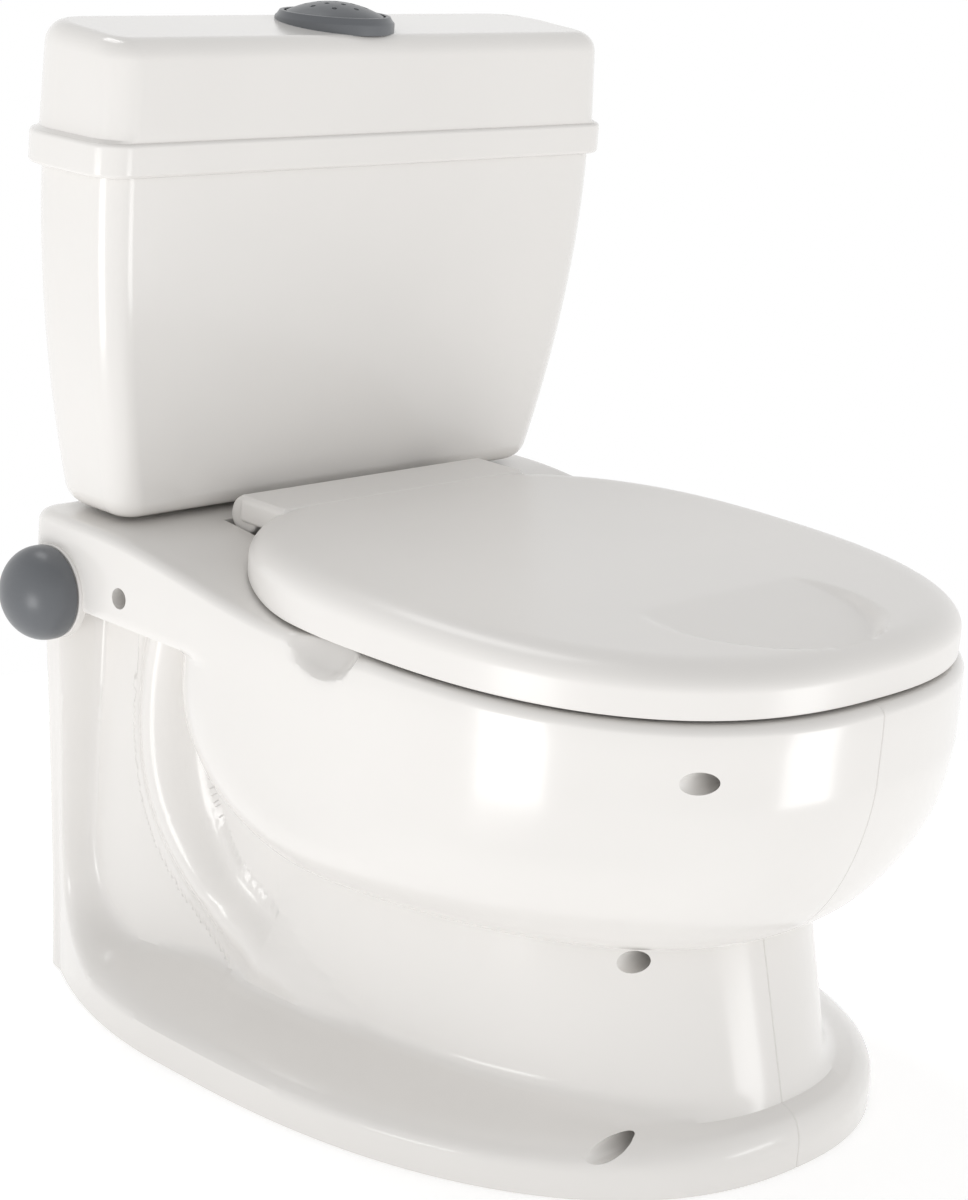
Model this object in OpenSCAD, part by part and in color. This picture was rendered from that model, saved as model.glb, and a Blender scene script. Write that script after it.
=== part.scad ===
// Potty training chair shaped like a small toilet.
// Millimetres, +Z up. The front faces -Y and the tank stands at the back.
// The origin is on the floor, on the symmetry plane, half way along the base.
// "Right" and "left" are those of a child sitting on the seat, so right is -X.

/* [Base] */
// Length of the base from the front of the rim to the flat back
base_len = 335; // [325:1:340]
// Half width of the foot at its widest
foot_half = 137; // [132:1:140]
// Half width of the rim and the deck
deck_half = 127; // [126:0.5:128]
// Height of the rim of the bowl
rim_z = 187; // [186:0.5:187.5]
// Height of the deck under the tank
deck_z = 199.5; // [197:0.5:199.5]
// Wall thickness of the two base shells
shell_wall = 3.5; // [3:0.5:4]

/* [Tank] */
// Half width of the tank body at its top
tank_top_half = 136; // [133:0.5:136]
// How much narrower each side of the tank body is at its bottom
tank_taper = 20; // [16:1:22]
// Height of the underside of the tank body
tank_bottom_z = 201.5; // [201:0.5:203]
// Height of the top of the tank cover
cover_z = 393.5; // [392:0.5:395]
// Wall thickness of the tank body and its cover
tank_wall = 3; // [2.5:0.5:3]

/* [Seat and lid] */
// Half width of the lid
lid_half = 123.5; // [122:0.5:124]
// Height of the lid's top face
lid_z = 211; // [210.5:0.1:211.2]
// Height of the hinge axis of the seat and the lid
hinge_z = 203; // [202.8:0.1:203.2]
// Distance of the hinge axis behind the origin
hinge_y = 103; // [102:0.5:103]
// Radius of the hinge pins
pin_r = 1.75; // [1.5:0.25:2]

/* [Flush button] */
// Radius of the domed button
button_r = 20; // [19:0.5:20]
// Travel of the button
button_travel = 3.5; // [3:0.1:3.5]

/* [Roll holder] */
// Radius of the knob on the end of the roll spindle
knob_r = 19; // [17:0.5:19.5]
// Distance that the spindle slides out
spindle_travel = 98; // [90:1:100]

/* [Hidden] */

$fn = 48;
front_y = -base_len / 2;
back_y = base_len / 2;
fit = 0.05;
gap = 0.3;

// ---------- helpers ----------
function clamp01(v) = max(0, min(1, v));
function ease(from, to, v) = let (t = clamp01((v - from) / (to - from))) t * t * (3 - 2 * t);
function mix(a, b, t) = a + (b - a) * t;
// Rounded maximum of two values, blended over a difference of about k
function soft_max(a, b, k) =
  let (h = clamp01(0.5 + 0.5 * (a - b) / k))
  mix(b, a, h) + k * h * (1 - h);
// Quarter-ellipse rise from 0 to 1
function bulge(t) = sqrt(1 - pow(1 - clamp01(t), 2));
function signed_pow(v, p) = sign(v) * pow(abs(v), p);

// Closed loft through rings of the same number of points
module loft(rings) {
  m = len(rings[0]);
  k = len(rings);
  sides = [
    for (i = [0:k - 2], j = [0:m - 1])
      let (a = i * m + j, b = i * m + (j + 1) % m)
      each [[a, a + m, b], [b, a + m, b + m]]
  ];
  bottom = [for (j = [0:m - 1]) j];
  top = [for (j = [m - 1:-1:0]) (k - 1) * m + j];
  polyhedron(points = [for (ring = rings) each ring], faces = concat([bottom], sides, [top]));
}

// Egg-shaped ring: half width a, reaching f to the front and r to the back of yc
function egg(a, f, r, yc, n, z, m = 56) = [
  for (i = [0:m - 1])
    let (t = 360 * i / m, c = cos(t))
    [a * signed_pow(sin(t), 2 / n), yc - (c > 0 ? f : r) * signed_pow(c, 2 / n), z]
];
function flat_egg(a, f, r, yc, n) = [for (p = egg(a, f, r, yc, n, 0)) [p[0], p[1]]];

// Rounded rectangle ring of half width w between y0 and y1, with corners of radius r
// at the front and of radius rear at the back
function box_ring(w, y0, y1, r, rear, z, steps = 5) = [
  for (corner = [[1, 0, -90], [1, 1, 0], [-1, 1, 90], [-1, 0, 180]], i = [0:steps])
    let (a = corner[2] + 90 * i / steps, c = corner[1] == 0 ? r : rear)
    [corner[0] * (w - c) + c * cos(a), (corner[1] == 0 ? y0 + c : y1 - c) + c * sin(a), z]
];

module both_sides() {
  children();
  mirror([1, 0, 0]) children();
}

// Cylinder along X from x0 to x1 round the point (y, z)
module x_rod(x0, x1, y, z, r) {
  translate([x0, y, z]) rotate([0, 90, 0]) cylinder(r = r, h = x1 - x0);
}

// ---------- shape of the base ----------
foot_yc = 40;
bowl_yc = -22;
neck_z = 87;
full_z = 158;
bowl_rear_yc = -5;
bowl_rear_run = 93;
bowl_rear_zc = 150;
round_z = 178;
top_round = 5;
corner_r = 13;

// Front edge of the base at height z: foot band, ledge, pedestal, bowl
function front_at(z) =
  z < 8 ? -152
  : z < 23 ? -142 - 10 * sqrt(1 - pow((z - 8) / 15, 2))
  : z < neck_z ? mix(-142, -124, (z - 23) / (neck_z - 23))
  : mix(-124, front_y, sqrt(1 - pow(clamp01((full_z - z) / (full_z - neck_z)), 1.6)));

// Centre and fullness of the rounded nose at height z
function nose_yc(z) = mix(foot_yc, bowl_yc, ease(neck_z - 2, 135, z));
function nose_n(z) = mix(2.3, 2.4, ease(neck_z, 135, z));

// Height of the top face: a level rim, then a slope up to the deck
function top_at(y) = mix(rim_z, deck_z, ease(10, 128, y));

function foot_side(y) = foot_half - 14 * pow(max(0, y - 60) / 70, 2);

// Recessed side panel between the bowl and the rear frame
function panel_side(y, z) =
  let (wall = mix(98, 107, ease(70, 118, y)))
  wall + 3 * (1 - ease(8, 26, y + (z - 89) * 0.6)) - 3 * (1 - ease(40, 70, abs(z - 55) + max(0, y - 10)));

// Raised frame: foot flare below and upright band at the back, round one big corner
function frame_side(y, z) =
  let (
    outer = mix(foot_side(y), deck_half, pow(clamp01(z / deck_z), 1.2)),
    corner = norm([max(0, y - 103), max(0, 67 - z)]) - 45
  )
  mix(90, outer, ease(-13, mix(10, 2, ease(25, 60, z)), corner));

// Bulging side of the bowl with its folded lower edge, and the deck above it
function bowl_side(y, z) =
  let (
    across = max(0, y - bowl_rear_yc) / bowl_rear_run,
    down = max(0, bowl_rear_zc - z) / (bowl_rear_zc - neck_z - 1),
    inside = 1 - norm([across, down])
  )
  inside <= 0 ? 90 : mix(98, deck_half, bulge(inside / 0.42));
function deck_side(z) = mix(90, deck_half, ease(153, 166, z));

// Raised rib that sweeps from under the deck down into the pedestal
ridge_ends = [[99, 160], [113, 70], [62, 50], [5, 20]];
ridge_steps = 10;
function ridge_point(t) =
  pow(1 - t, 3) * ridge_ends[0] + 3 * pow(1 - t, 2) * t * ridge_ends[1]
  + 3 * (1 - t) * t * t * ridge_ends[2] + pow(t, 3) * ridge_ends[3];
ridge_line = [for (i = [0:ridge_steps]) ridge_point(i / ridge_steps)];
function segment_distance(p, a, b) =
  let (ab = b - a, t = clamp01((p - a) * ab / (ab * ab)))
  norm(p - a - ab * t);
function ridge_distance(y, z) =
  min([for (i = [0:ridge_steps - 1]) segment_distance([y, z], ridge_line[i], ridge_line[i + 1])]);
function ridge_side(y, z) =
  let (d = ridge_distance(y, z) / 16)
  d >= 1 ? 90 : panel_side(y, z) + 11 * pow(cos(90 * d), 2) * ease(14, 40, z);

// Half width of the base at a point of the side view
function side_at(y, z) =
  let (
    ribbed = soft_max(panel_side(y, z), ridge_side(y, z), 1),
    framed = soft_max(ribbed, frame_side(y, z), 3),
    upper = min(deck_half, soft_max(bowl_side(y, z), deck_side(z), 3))
  )
  max(soft_max(framed, upper, 2) - 0.5, upper);

// Half ring at height z, from the front seam to the back seam. The wall is kept
// both sideways and up and down, and trim pulls the ring in for a rounded edge.
nose_steps = 15;
side_steps = 17;
corner_steps = 3;
function inner_side(y, z, wall) = min([for (dz = [-wall, 0, wall]) side_at(y, z + dz)]) - wall;
function inner_front(z, wall) = max([for (dz = [-wall, 0, wall]) front_at(z + dz)]) + wall;
function half_row(z, wall = 0, trim = 0) =
  let (
    yc = nose_yc(z),
    n = nose_n(z),
    f = yc - inner_front(z, wall) - trim,
    rear = back_y - corner_r,
    side_rear = inner_side(rear, z, wall) - trim,
    r = corner_r - wall - trim
  )
  concat(
    [for (i = [0:nose_steps])
      let (t = 90 * i / nose_steps, y = yc - f * pow(cos(t), 2 / n))
      [(inner_side(y, z, wall) - trim) * pow(sin(t), 2 / n), y]],
    [for (i = [1:side_steps])
      let (y = mix(yc, rear, i / side_steps))
      [inner_side(y, z, wall) - trim, y]],
    [for (i = [1:corner_steps])
      let (a = 90 * i / corner_steps)
      [side_rear - r * (1 - cos(a)), rear + r * sin(a)]],
    [[0, back_y - wall - trim]]
  );

skin_levels = [
  0, 8, 13, 18, 23, 30, 39, 48, 57, 66, 76, neck_z - 1, neck_z + 1.5, 92, 97,
  104, 113, 123, 134, 146, 153, 158, 164, 170, round_z
];
cavity_levels = [-1, 12, 20, 30, 44, 58, 72, neck_z - 4, neck_z + 5, 97, 104, 114, 128, 144, 156, 166, round_z];
function skin_rings() = concat(
  [for (z = skin_levels) [for (p = half_row(z)) [p[0], p[1], z]]],
  [for (a = [30:30:90])
    [for (p = half_row(round_z, 0, top_round * (1 - cos(a))))
      [p[0], p[1], top_at(p[1]) - top_round * (1 - sin(a))]]]
);
function cavity_rings() = concat(
  [for (z = cavity_levels) [for (p = half_row(max(z, 0), shell_wall)) [p[0], p[1], z]]],
  [[for (p = half_row(round_z, shell_wall, 2)) [p[0], p[1], top_at(p[1]) - shell_wall]]]
);

// Solid on the +X side of the plane X = x0 through a stack of half rings. The seam is
// a fan of triangles round a point inside it.
module half_solid(rings, x0) {
  m = len(rings[0]);
  k = len(rings);
  last = (k - 1) * m;
  axis = k * m;
  hub = axis + m;
  skin = [
    for (i = [0:k - 1], j = [0:m - 1])
      let (p = rings[i][j])
      [(j == 0 || j == m - 1) ? x0 : p[0], p[1], p[2]]
  ];
  top_axis = [for (p = rings[k - 1]) [x0, p[1], p[2]]];
  sides = [
    for (i = [0:k - 2], j = [0:m - 2])
      let (a = i * m + j, c = a + m)
      each [[a, c, a + 1], [a + 1, c, c + 1]]
  ];
  top = [
    for (j = [0:m - 2])
      j == 0 ? [last, axis + 1, last + 1]
      : j == m - 2 ? [last + j, axis + j, last + m - 1]
      : [last + j, axis + j, axis + j + 1, last + j + 1]
  ];
  seam_edge = concat(
    [for (i = [0:k - 1]) i * m + m - 1],
    [for (j = [m - 2:-1:1]) axis + j],
    [for (i = [k - 1:-1:0]) i * m]
  );
  count = len(seam_edge);
  seam = [for (i = [0:count - 1]) [hub, seam_edge[i], seam_edge[(i + 1) % count]]];
  polyhedron(
    points = concat(skin, top_axis, [[x0, 0, neck_z]]),
    faces = concat(sides, top, seam, [[for (j = [0:m - 1]) j]])
  );
}

// ---------- shared places ----------
// Screws that join the two base shells: y, z and the depth of the screw head in X
shell_screws = [[107, 176, 30], [-147.5, 167, 22], [-106.5, 80.5, 20], [-122, 18, 20]];
boss_r = 6.5;
counterbore_r = 4.2;
screw_head_r = 3.7;
screw_shaft_r = 2;

// The pot's flange sits in a rebate of the rim, and its tab in a pocket of the deck
flange_z = rim_z;
flange_t = 3;
flange = [108, 128, 100, bowl_yc, 2.4];
opening = [101, 121, 93, bowl_yc, 2.4];
pocket_half = 69.5;
pocket_back = 113.2;

// Finger scoops under the lid's edge
scoop = [deck_half + 9, -7, 195.6];
scoop_r = 23;

// Roll holder, on the right side only
roll_y = 148;
roll_z = 169;
sleeve_r = 9.3;
pad_x = -deck_half - 1.5;
spindle_r = 6.5;

// Tank screws, from under the deck
tank_screw = [70, 145];

module grown_egg(o, grow, z0, z1) {
  translate([0, 0, z0])
    linear_extrude(z1 - z0) polygon(flat_egg(o[0] + grow, o[1] + grow, o[2] + grow, o[3], o[4]));
}

// One hollow base half on the +X side, with its bosses, rebate, pocket and finger scoop
module half_shell() {
  difference() {
    half_solid(skin_rings(), 0);
    difference() {
      half_solid(cavity_rings(), -1);
      for (s = shell_screws) x_rod(-2, deck_half, s[0], s[1], boss_r);
      translate([-2, 70, flange_z - flange_t - shell_wall])
        cube([pocket_half + shell_wall + 2, pocket_back + shell_wall - 70, 30]);
      difference() {
        grown_egg(opening, 11, rim_z - flange_t - shell_wall, rim_z + 10);
        grown_egg(opening, 0, rim_z - 20, rim_z + 20);
      }
      translate(scoop) sphere(r = scoop_r + shell_wall);
      translate([tank_screw[0], tank_screw[1], 190]) cylinder(r = 7, h = 20);
    }
    grown_egg(opening, 0, rim_z - 20, rim_z + 20);
    grown_egg(flange, 0.4, rim_z - flange_t, rim_z + 20);
    translate([-2, 70, flange_z - flange_t]) cube([pocket_half + 2, pocket_back - 70, 30]);
    translate(scoop) sphere(r = scoop_r);
    translate([tank_screw[0], tank_screw[1], 180]) cylinder(r = 2.2, h = 30);
    translate([tank_screw[0], tank_screw[1], 180]) cylinder(r = 4.5, h = 194 - 180);
  }
}

rib_half = 3;
rib_h = 22;
rib_tongue = 14;

// ---------- base ----------
module base_shell_left() {
  color("white") difference() {
    union() {
      half_shell();
      translate([-rib_tongue, -rib_half, 0]) cube([110 + rib_tongue, 2 * rib_half, rib_h]);
    }
    for (s = shell_screws) x_rod(-1, 16, s[0], s[1], screw_shaft_r - 0.3);
  }
}

module base_shell_right() {
  color("white") difference() {
    union() {
      mirror([1, 0, 0]) half_shell();
      translate([-110, -rib_half, 0]) cube([110 - rib_tongue - gap, 2 * rib_half, rib_h]);
      x_rod(pad_x, -shell_wall, roll_y, roll_z, sleeve_r + 2.5);
      x_rod(pad_x, pad_x + 4, roll_y, roll_z, knob_r);
    }
    for (s = shell_screws) {
      x_rod(-deck_half - 20, -s[2], s[0], s[1], counterbore_r);
      x_rod(-s[2] - 1, 1, s[0], s[1], screw_shaft_r + 0.3);
    }
    x_rod(pad_x + 4, 1, roll_y, roll_z, sleeve_r);
    x_rod(pad_x - 1, pad_x + 5, roll_y, roll_z, spindle_r + 0.1);
  }
}

// Pan-head screw along +Z with the head below z = 0 and a cross recess in it
module screw(head_r, head_h, shaft_r, length) {
  difference() {
    translate([0, 0, -head_h]) cylinder(r1 = head_r * 0.8, r2 = head_r, h = head_h);
    for (a = [0, 90]) rotate([0, 0, a])
      translate([-head_r * 0.55, -0.4, -head_h - 1]) cube([head_r * 1.1, 0.8, 1 + head_h * 0.6]);
  }
  cylinder(r = shaft_r, h = length);
}

module base_screws() {
  color("silver") for (s = shell_screws)
    translate([-s[2] - 0.01, s[0], s[1]]) rotate([0, 90, 0])
      screw(screw_head_r, 2.6, screw_shaft_r - 0.3, s[2] + 12);
}

// ---------- tank ----------
band_z = [339, 352];
band_half = 140.5;
band_front = 110.2;
band_back = 173.5;
tank_front = 112.5;
tank_back = 170;
tank_r = 12;
tank_rear_r = 24;
face_lean = 7;
tank_top_z = 349.6;
tank_levels = [201.5, 203, 207.5, 216, 230, 246, 265, 290, 320, tank_top_z];
function tank_depth(z) = clamp01((band_z[0] - z) / (band_z[0] - tank_bottom_z));
function tank_side(z) = tank_top_half - tank_taper * pow(tank_depth(z), 1.9);
function tank_face(z) = tank_front + face_lean * pow(tank_depth(z), 1.9);
function tank_ring(z, inset) =
  let (
    low = clamp01((tank_bottom_z + 6 - z) / 6),
    trim = inset + 6 * (1 - sqrt(1 - low * low))
  )
  box_ring(
    tank_side(z) - trim, tank_face(z) + trim, tank_back - trim,
    tank_r - min(trim, 8), tank_rear_r - min(trim, 8), z
  );
module tank_body() {
  color("white") {
    difference() {
      union() {
        difference() {
          loft([for (z = tank_levels) tank_ring(max(z, tank_bottom_z), 0)]);
          loft([for (z = [205, 210, 218, 232, 250, 280, 310, 355])
            [for (p = tank_ring(min(z, tank_top_z), tank_wall)) [p[0], p[1], z]]]);
        }
        both_sides() translate([tank_screw[0], tank_screw[1], 203]) cylinder(r = 6, h = 18);
        both_sides() translate([tank_screw[0], tank_screw[1], deck_z]) cylinder(r = 8, h = 5);
        translate([-60, 137, deck_z]) cube([120, 18, 4]);
      }
      both_sides() translate([tank_screw[0], tank_screw[1], deck_z - 1]) cylinder(r = 1.7, h = 18);
    }
  }
}

module tank_screws() {
  color("silver") both_sides()
    translate([tank_screw[0], tank_screw[1], 194]) screw(4, 2.6, 1.7, 20);
}

cover_r = 9;
cover_back = 172;
cover_levels = [[339, 0], [339.8, 0.8], [351.2, 0.8], [352, 0]];
function cover_side(z) = mix(137, 135.5, clamp01((z - 353) / (cover_z - 353)));
function cover_face(z) = mix(111.5, 112.5, clamp01((z - 353) / (cover_z - 353)));
function cover_ring(z, trim) =
  let (eased = min(trim, 9) * 0.9)
  box_ring(cover_side(z) - trim, cover_face(z) + trim, cover_back - trim, 13 - eased, 25 - eased, z);
function band_ring(z, grow) =
  box_ring(band_half - 0.8 + grow, band_front + 0.8 - grow, band_back - 0.8 + grow, 13 + grow, 25 + grow, z);

button_y = 141;
button_hole_r = 22.2;
box_top_z = 376;
box_screws = [[52, 128], [52, 152]];
module tank_cover() {
  color("white") difference() {
    union() {
      difference() {
        loft(concat(
          [for (l = cover_levels) band_ring(l[0], l[1])],
          [cover_ring(353, 0), cover_ring(366, 0), cover_ring(cover_z - cover_r, 0)],
          [for (a = [18:18:90]) cover_ring(cover_z - cover_r * (1 - sin(a)), cover_r * (1 - cos(a)) * 0.9)]
        ));
        loft([
          for (z = [338, 350])
            box_ring(tank_top_half + gap, tank_front - gap, tank_back + gap, tank_r, tank_rear_r, z)
        ]);
        loft([
          [for (p = cover_ring(353, 5)) [p[0], p[1], 349]],
          cover_ring(366, tank_wall + 1),
          cover_ring(cover_z - cover_r, tank_wall),
          cover_ring(cover_z - 5, tank_wall + 2),
          cover_ring(cover_z - tank_wall, tank_wall + 6)
        ]);
      }
      both_sides() for (s = box_screws)
        translate([s[0], s[1], box_top_z]) cylinder(r = 4, h = cover_z - box_top_z - 1);
    }
    translate([0, button_y, cover_z - 20]) cylinder(r = button_hole_r, h = 30);
    both_sides() for (s = box_screws)
      translate([s[0], s[1], box_top_z - 1]) cylinder(r = 1.3, h = 12);
  }
}

// ---------- flush button ----------
bezel_r = 24.5;
bezel_top = cover_z + 3.5;
dome_top = cover_z + 8;
module button_bezel() {
  color("dimgray") translate([0, button_y, 0]) rotate_extrude() polygon([
    [button_r + 0.8, cover_z - 8], [button_hole_r - fit, cover_z - 8], [button_hole_r - fit, cover_z],
    [bezel_r, cover_z], [bezel_r, cover_z + 0.8], [button_r + 2.2, bezel_top], [button_r + 0.8, bezel_top]
  ]);
}

stem_bottom = box_top_z + 0.5;
cap_base = bezel_top - 0.5;
dome_h = dome_top - cap_base;
dome_sphere = (button_r * button_r + dome_h * dome_h) / (2 * dome_h);
skirt_z = cover_z - 6;
// Rings of dimples: radius, count and turn
dimple_rings = [[0, 1, 0], [button_r * 0.34, 6, 15], [button_r * 0.62, 8, 0]];
function dome_z(r) = dome_top - dome_sphere + sqrt(dome_sphere * dome_sphere - r * r);
module flush_button() {
  color("dimgray") translate([0, button_y, 0]) difference() {
    union() {
      intersection() {
        translate([0, 0, dome_top - dome_sphere]) sphere(r = dome_sphere, $fn = 96);
        translate([0, 0, skirt_z]) cylinder(r = button_r, h = 20);
      }
      translate([0, 0, skirt_z]) cylinder(r = button_r, h = cap_base - skirt_z);
    }
    difference() {
      translate([0, 0, skirt_z - 1]) cylinder(r = button_r - 2, h = cap_base - skirt_z);
      translate([0, 0, skirt_z - 1]) cylinder(r = 4, h = 20);
    }
    for (ring = dimple_rings, i = [0:ring[1] - 1]) rotate([0, 0, 360 * i / ring[1] + ring[2]])
      translate([ring[0], 0, dome_z(ring[0]) - 0.8]) cylinder(r = 0.9, h = 10);
  }
  color("dimgray") translate([0, button_y, stem_bottom]) cylinder(r = 4, h = skirt_z - stem_bottom + 1);
}

// Coil spring of round wire between z0 and z1
spring_wire = 0.5;
spring_r = 6.5;
spring_turns = 5;
spring_sides = 8;
spring_rings = 60;
module button_spring() {
  z0 = box_top_z + spring_wire;
  z1 = cap_base - 1 - spring_wire;
  points = [
    for (i = [0:spring_rings], j = [0:spring_sides - 1])
      let (
        a = 360 * spring_turns * i / spring_rings,
        b = 360 * j / spring_sides,
        r = spring_r + spring_wire * cos(b)
      )
      [r * cos(a), button_y + r * sin(a), mix(z0, z1, i / spring_rings) + spring_wire * sin(b)]
  ];
  sides = [
    for (i = [0:spring_rings - 1], j = [0:spring_sides - 1])
      let (a = i * spring_sides + j, b = i * spring_sides + (j + 1) % spring_sides)
      each [[a, b, a + spring_sides], [b, b + spring_sides, a + spring_sides]]
  ];
  start = [for (j = [spring_sides - 1:-1:0]) j];
  end = [for (j = [0:spring_sides - 1]) spring_rings * spring_sides + j];
  color("silver") polyhedron(points = points, faces = concat([start], sides, [end]));
}

// ---------- sound box, hung under the cover ----------
box_half = 46;
box_y = [121, 159];
box_bottom_z = 344;
box_wall = 2;
board_z = 367;
battery_x = [-38, 6.5];
battery_r = 5.25;
battery_y = [132, 146];
battery_z = 353;
speaker_x = 26;
door_x = [-42, 10];
module sound_box() {
  color("whitesmoke") difference() {
    union() {
      translate([-box_half, box_y[0], box_bottom_z])
        cube([2 * box_half, box_y[1] - box_y[0], box_top_z - box_bottom_z]);
      both_sides() for (s = box_screws)
        translate([s[0], s[1], box_top_z - 3]) cylinder(r = 5, h = 3);
      both_sides() translate([box_half - 1, box_screws[0][1] - 4, box_top_z - 3]) cube([6, 8, 3]);
      both_sides() translate([box_half - 1, box_screws[1][1] - 4, box_top_z - 3]) cube([6, 8, 3]);
    }
    translate([-box_half + box_wall, box_y[0] + box_wall, box_bottom_z + box_wall])
      cube([2 * (box_half - box_wall), box_y[1] - box_y[0] - 2 * box_wall, box_top_z - box_bottom_z - 2 * box_wall]);
    translate([0, button_y, box_top_z - 5]) cylinder(r = 4.5, h = 10);
    both_sides() for (s = box_screws)
      translate([s[0], s[1], box_top_z - 5]) cylinder(r = 1.7, h = 10);
    translate([door_x[0], 124, box_bottom_z - 1]) cube([door_x[1] - door_x[0], 30, box_wall + 2]);
    for (i = [-1:1], j = [-1:1])
      translate([speaker_x + 6 * i, button_y + 6 * j, box_bottom_z - 1]) cylinder(r = 1.2, h = 5);
  }
}

module sound_box_screws() {
  color("silver") both_sides() for (s = box_screws)
    translate([s[0], s[1], box_top_z - 3]) screw(2.8, 1.8, 1.3, 10);
}

module circuit_board() {
  color("seagreen") difference() {
    translate([-box_half + box_wall, 126, board_z]) cube([2 * (box_half - box_wall), 28, 1.6]);
    for (x = [-38, 38]) translate([x, 140, board_z - 1]) cylinder(r = 1.5, h = 4);
  }
  color("black") translate([-30, 133, board_z + 1.6]) cube([9, 9, 1.4]);
  color("black") translate([18, 145, board_z + 1.6]) cube([5, 4, 1.6]);
}

module sound_switch() {
  color("black") translate([-3, button_y - 3, board_z + 1.6]) cube([6, 6, 3]);
  color("gray") translate([0, button_y, board_z + 4.6]) cylinder(r = 1.7, h = 1);
}

module speaker() {
  color("silver") translate([speaker_x, button_y, box_bottom_z + box_wall]) {
    cylinder(r = 14, h = 2.5);
    cylinder(r = 9, h = 6);
    cylinder(r = 6, h = 9);
  }
}

module batteries() {
  color("goldenrod") for (y = battery_y) {
    x_rod(battery_x[0], battery_x[1] - 1, y, battery_z, battery_r);
    x_rod(battery_x[1] - 1, battery_x[1], y, battery_z, 1.9);
  }
}

module battery_contacts() {
  color("silver") {
    translate([battery_x[0] - 1.4, battery_y[0] - 4, battery_z - 4])
      cube([0.4, battery_y[1] - battery_y[0] + 8, 8]);
    for (y = battery_y) {
      translate([battery_x[1], y - 4, battery_z - 4]) cube([0.4, 8, 8]);
      x_rod(battery_x[0] - 1, battery_x[0], y, battery_z, 3);
    }
  }
}

module battery_cover() {
  color("whitesmoke") difference() {
    translate([door_x[0] + 0.2, 124.2, box_bottom_z]) cube([door_x[1] - door_x[0] - 0.4, 29.6, box_wall - 0.2]);
    translate([5, 139, box_bottom_z - 1]) cylinder(r = 1.2, h = 5);
  }
}

module battery_cover_screw() {
  color("silver") translate([5, 139, box_bottom_z]) screw(2, 1.2, 1.2, 4);
}

// ---------- pot ----------
pot_wall = 3;
pot_profile = [[92, 56, 60, 62], [96, 66, 72, 72], [108, 76, 86, 79], [135, 86, 99, 86], [160, 92, 106, 90], [184, 100, 120, 92]];
post_x = [40, 48];
post_half = 3.8;
post_r = 4.2;
module pot() {
  color("white") difference() {
    union() {
      grown_egg(flange, 0, flange_z - flange_t, flange_z);
      loft([for (p = pot_profile) egg(p[1], p[2], p[3], bowl_yc, 2.4, p[0])]);
      translate([-54, 60, flange_z - flange_t]) cube([108, pocket_back - 1 - 60, flange_t]);
      both_sides() {
        x_rod(post_x[0], post_x[1], hinge_y, hinge_z, post_r);
        translate([post_x[0], hinge_y - post_half, flange_z - 1])
          cube([post_x[1] - post_x[0], 2 * post_half, hinge_z - flange_z + 1]);
      }
    }
    loft(concat(
      [for (p = pot_profile)
        egg(p[1] - pot_wall, p[2] - pot_wall, p[3] - pot_wall, bowl_yc, 2.4, p[0] + pot_wall)],
      [egg(100, 120, 92, bowl_yc, 2.4, flange_z + 5)]
    ));
    both_sides() x_rod(post_x[0] - 1, post_x[1] + 1, hinge_y, hinge_z, pin_r);
  }
}

rib_x = [30, 38];
end_x = [60, 68];
module hinge_pins() {
  color("silver") both_sides() x_rod(rib_x[0] + 2, end_x[1] - 3, hinge_y, hinge_z, pin_r);
}

// ---------- seat ring ----------
ring_bottom = rim_z + 2.3;
ring_top = 202.5;
ring_outer = [114, 129, 107, bowl_yc, 2.4];
ring_hole = [72, 84, 76, -27, 2.2];
knuckle_x = [50, 58];
knuckle_r = 5;
bumper_spots = [[103, -30], [70, -118], [96, 4]];

// Everything lower than the sloping deck, kept clear by the seat and the lid
module above_deck(clearance) {
  rotate([90, 0, 90]) translate([0, 0, -150]) linear_extrude(300) polygon(concat(
    [[-200, 150], [-200, rim_z + clearance]],
    [for (y = [10:12:118]) [y, top_at(y) + clearance]],
    [[130, deck_z + clearance], [130, 150]]
  ));
}

// Egg-shaped rings with an upper edge rounded over r downwards and over side sideways
function rounded_egg_rings(o, z0, z1, r, side, steps = 4) = concat(
  [egg(o[0] - 1, o[1] - 1, o[2] - 1, o[3], o[4], z0), egg(o[0], o[1], o[2], o[3], o[4], z0 + 1)],
  [for (i = [0:steps])
    let (a = 90 * i / steps, t = side * (1 - cos(a)))
    egg(o[0] - t, o[1] - t, o[2] - t, o[3], o[4], z1 - r * (1 - sin(a)))]
);

module seat_ring() {
  color("white") difference() {
    union() {
      difference() {
        loft(rounded_egg_rings(ring_outer, ring_bottom, ring_top, 5, 5));
        above_deck(1.5);
        thumb_scoop(thumb_r + 4, 3.2);
        loft([
          egg(ring_hole[0], ring_hole[1], ring_hole[2], ring_hole[3], ring_hole[4], ring_bottom - 2),
          egg(ring_hole[0], ring_hole[1], ring_hole[2], ring_hole[3], ring_hole[4], ring_top - 6),
          egg(ring_hole[0] + 2, ring_hole[1] + 2, ring_hole[2] + 2, ring_hole[3], ring_hole[4], ring_top - 1.5),
          egg(ring_hole[0] + 7, ring_hole[1] + 7, ring_hole[2] + 7, ring_hole[3], ring_hole[4], ring_top + 0.5)
        ]);
      }
      both_sides() {
        x_rod(knuckle_x[0], knuckle_x[1], hinge_y, hinge_z, knuckle_r);
        translate([knuckle_x[0], 66, 0]) rotate([90, 0, 90])
          linear_extrude(knuckle_x[1] - knuckle_x[0])
            polygon([[0, 197], [hinge_y - 66, hinge_z - knuckle_r], [hinge_y - 66, hinge_z + 3], [0, ring_top]]);
      }
    }
    both_sides() x_rod(knuckle_x[0] - 1, knuckle_x[1] + 1, hinge_y, hinge_z, pin_r + fit);
    both_sides() for (b = bumper_spots)
      translate([b[0], b[1], ring_bottom - 3]) cylinder(r = 2.5, h = 7);
  }
}

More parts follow.
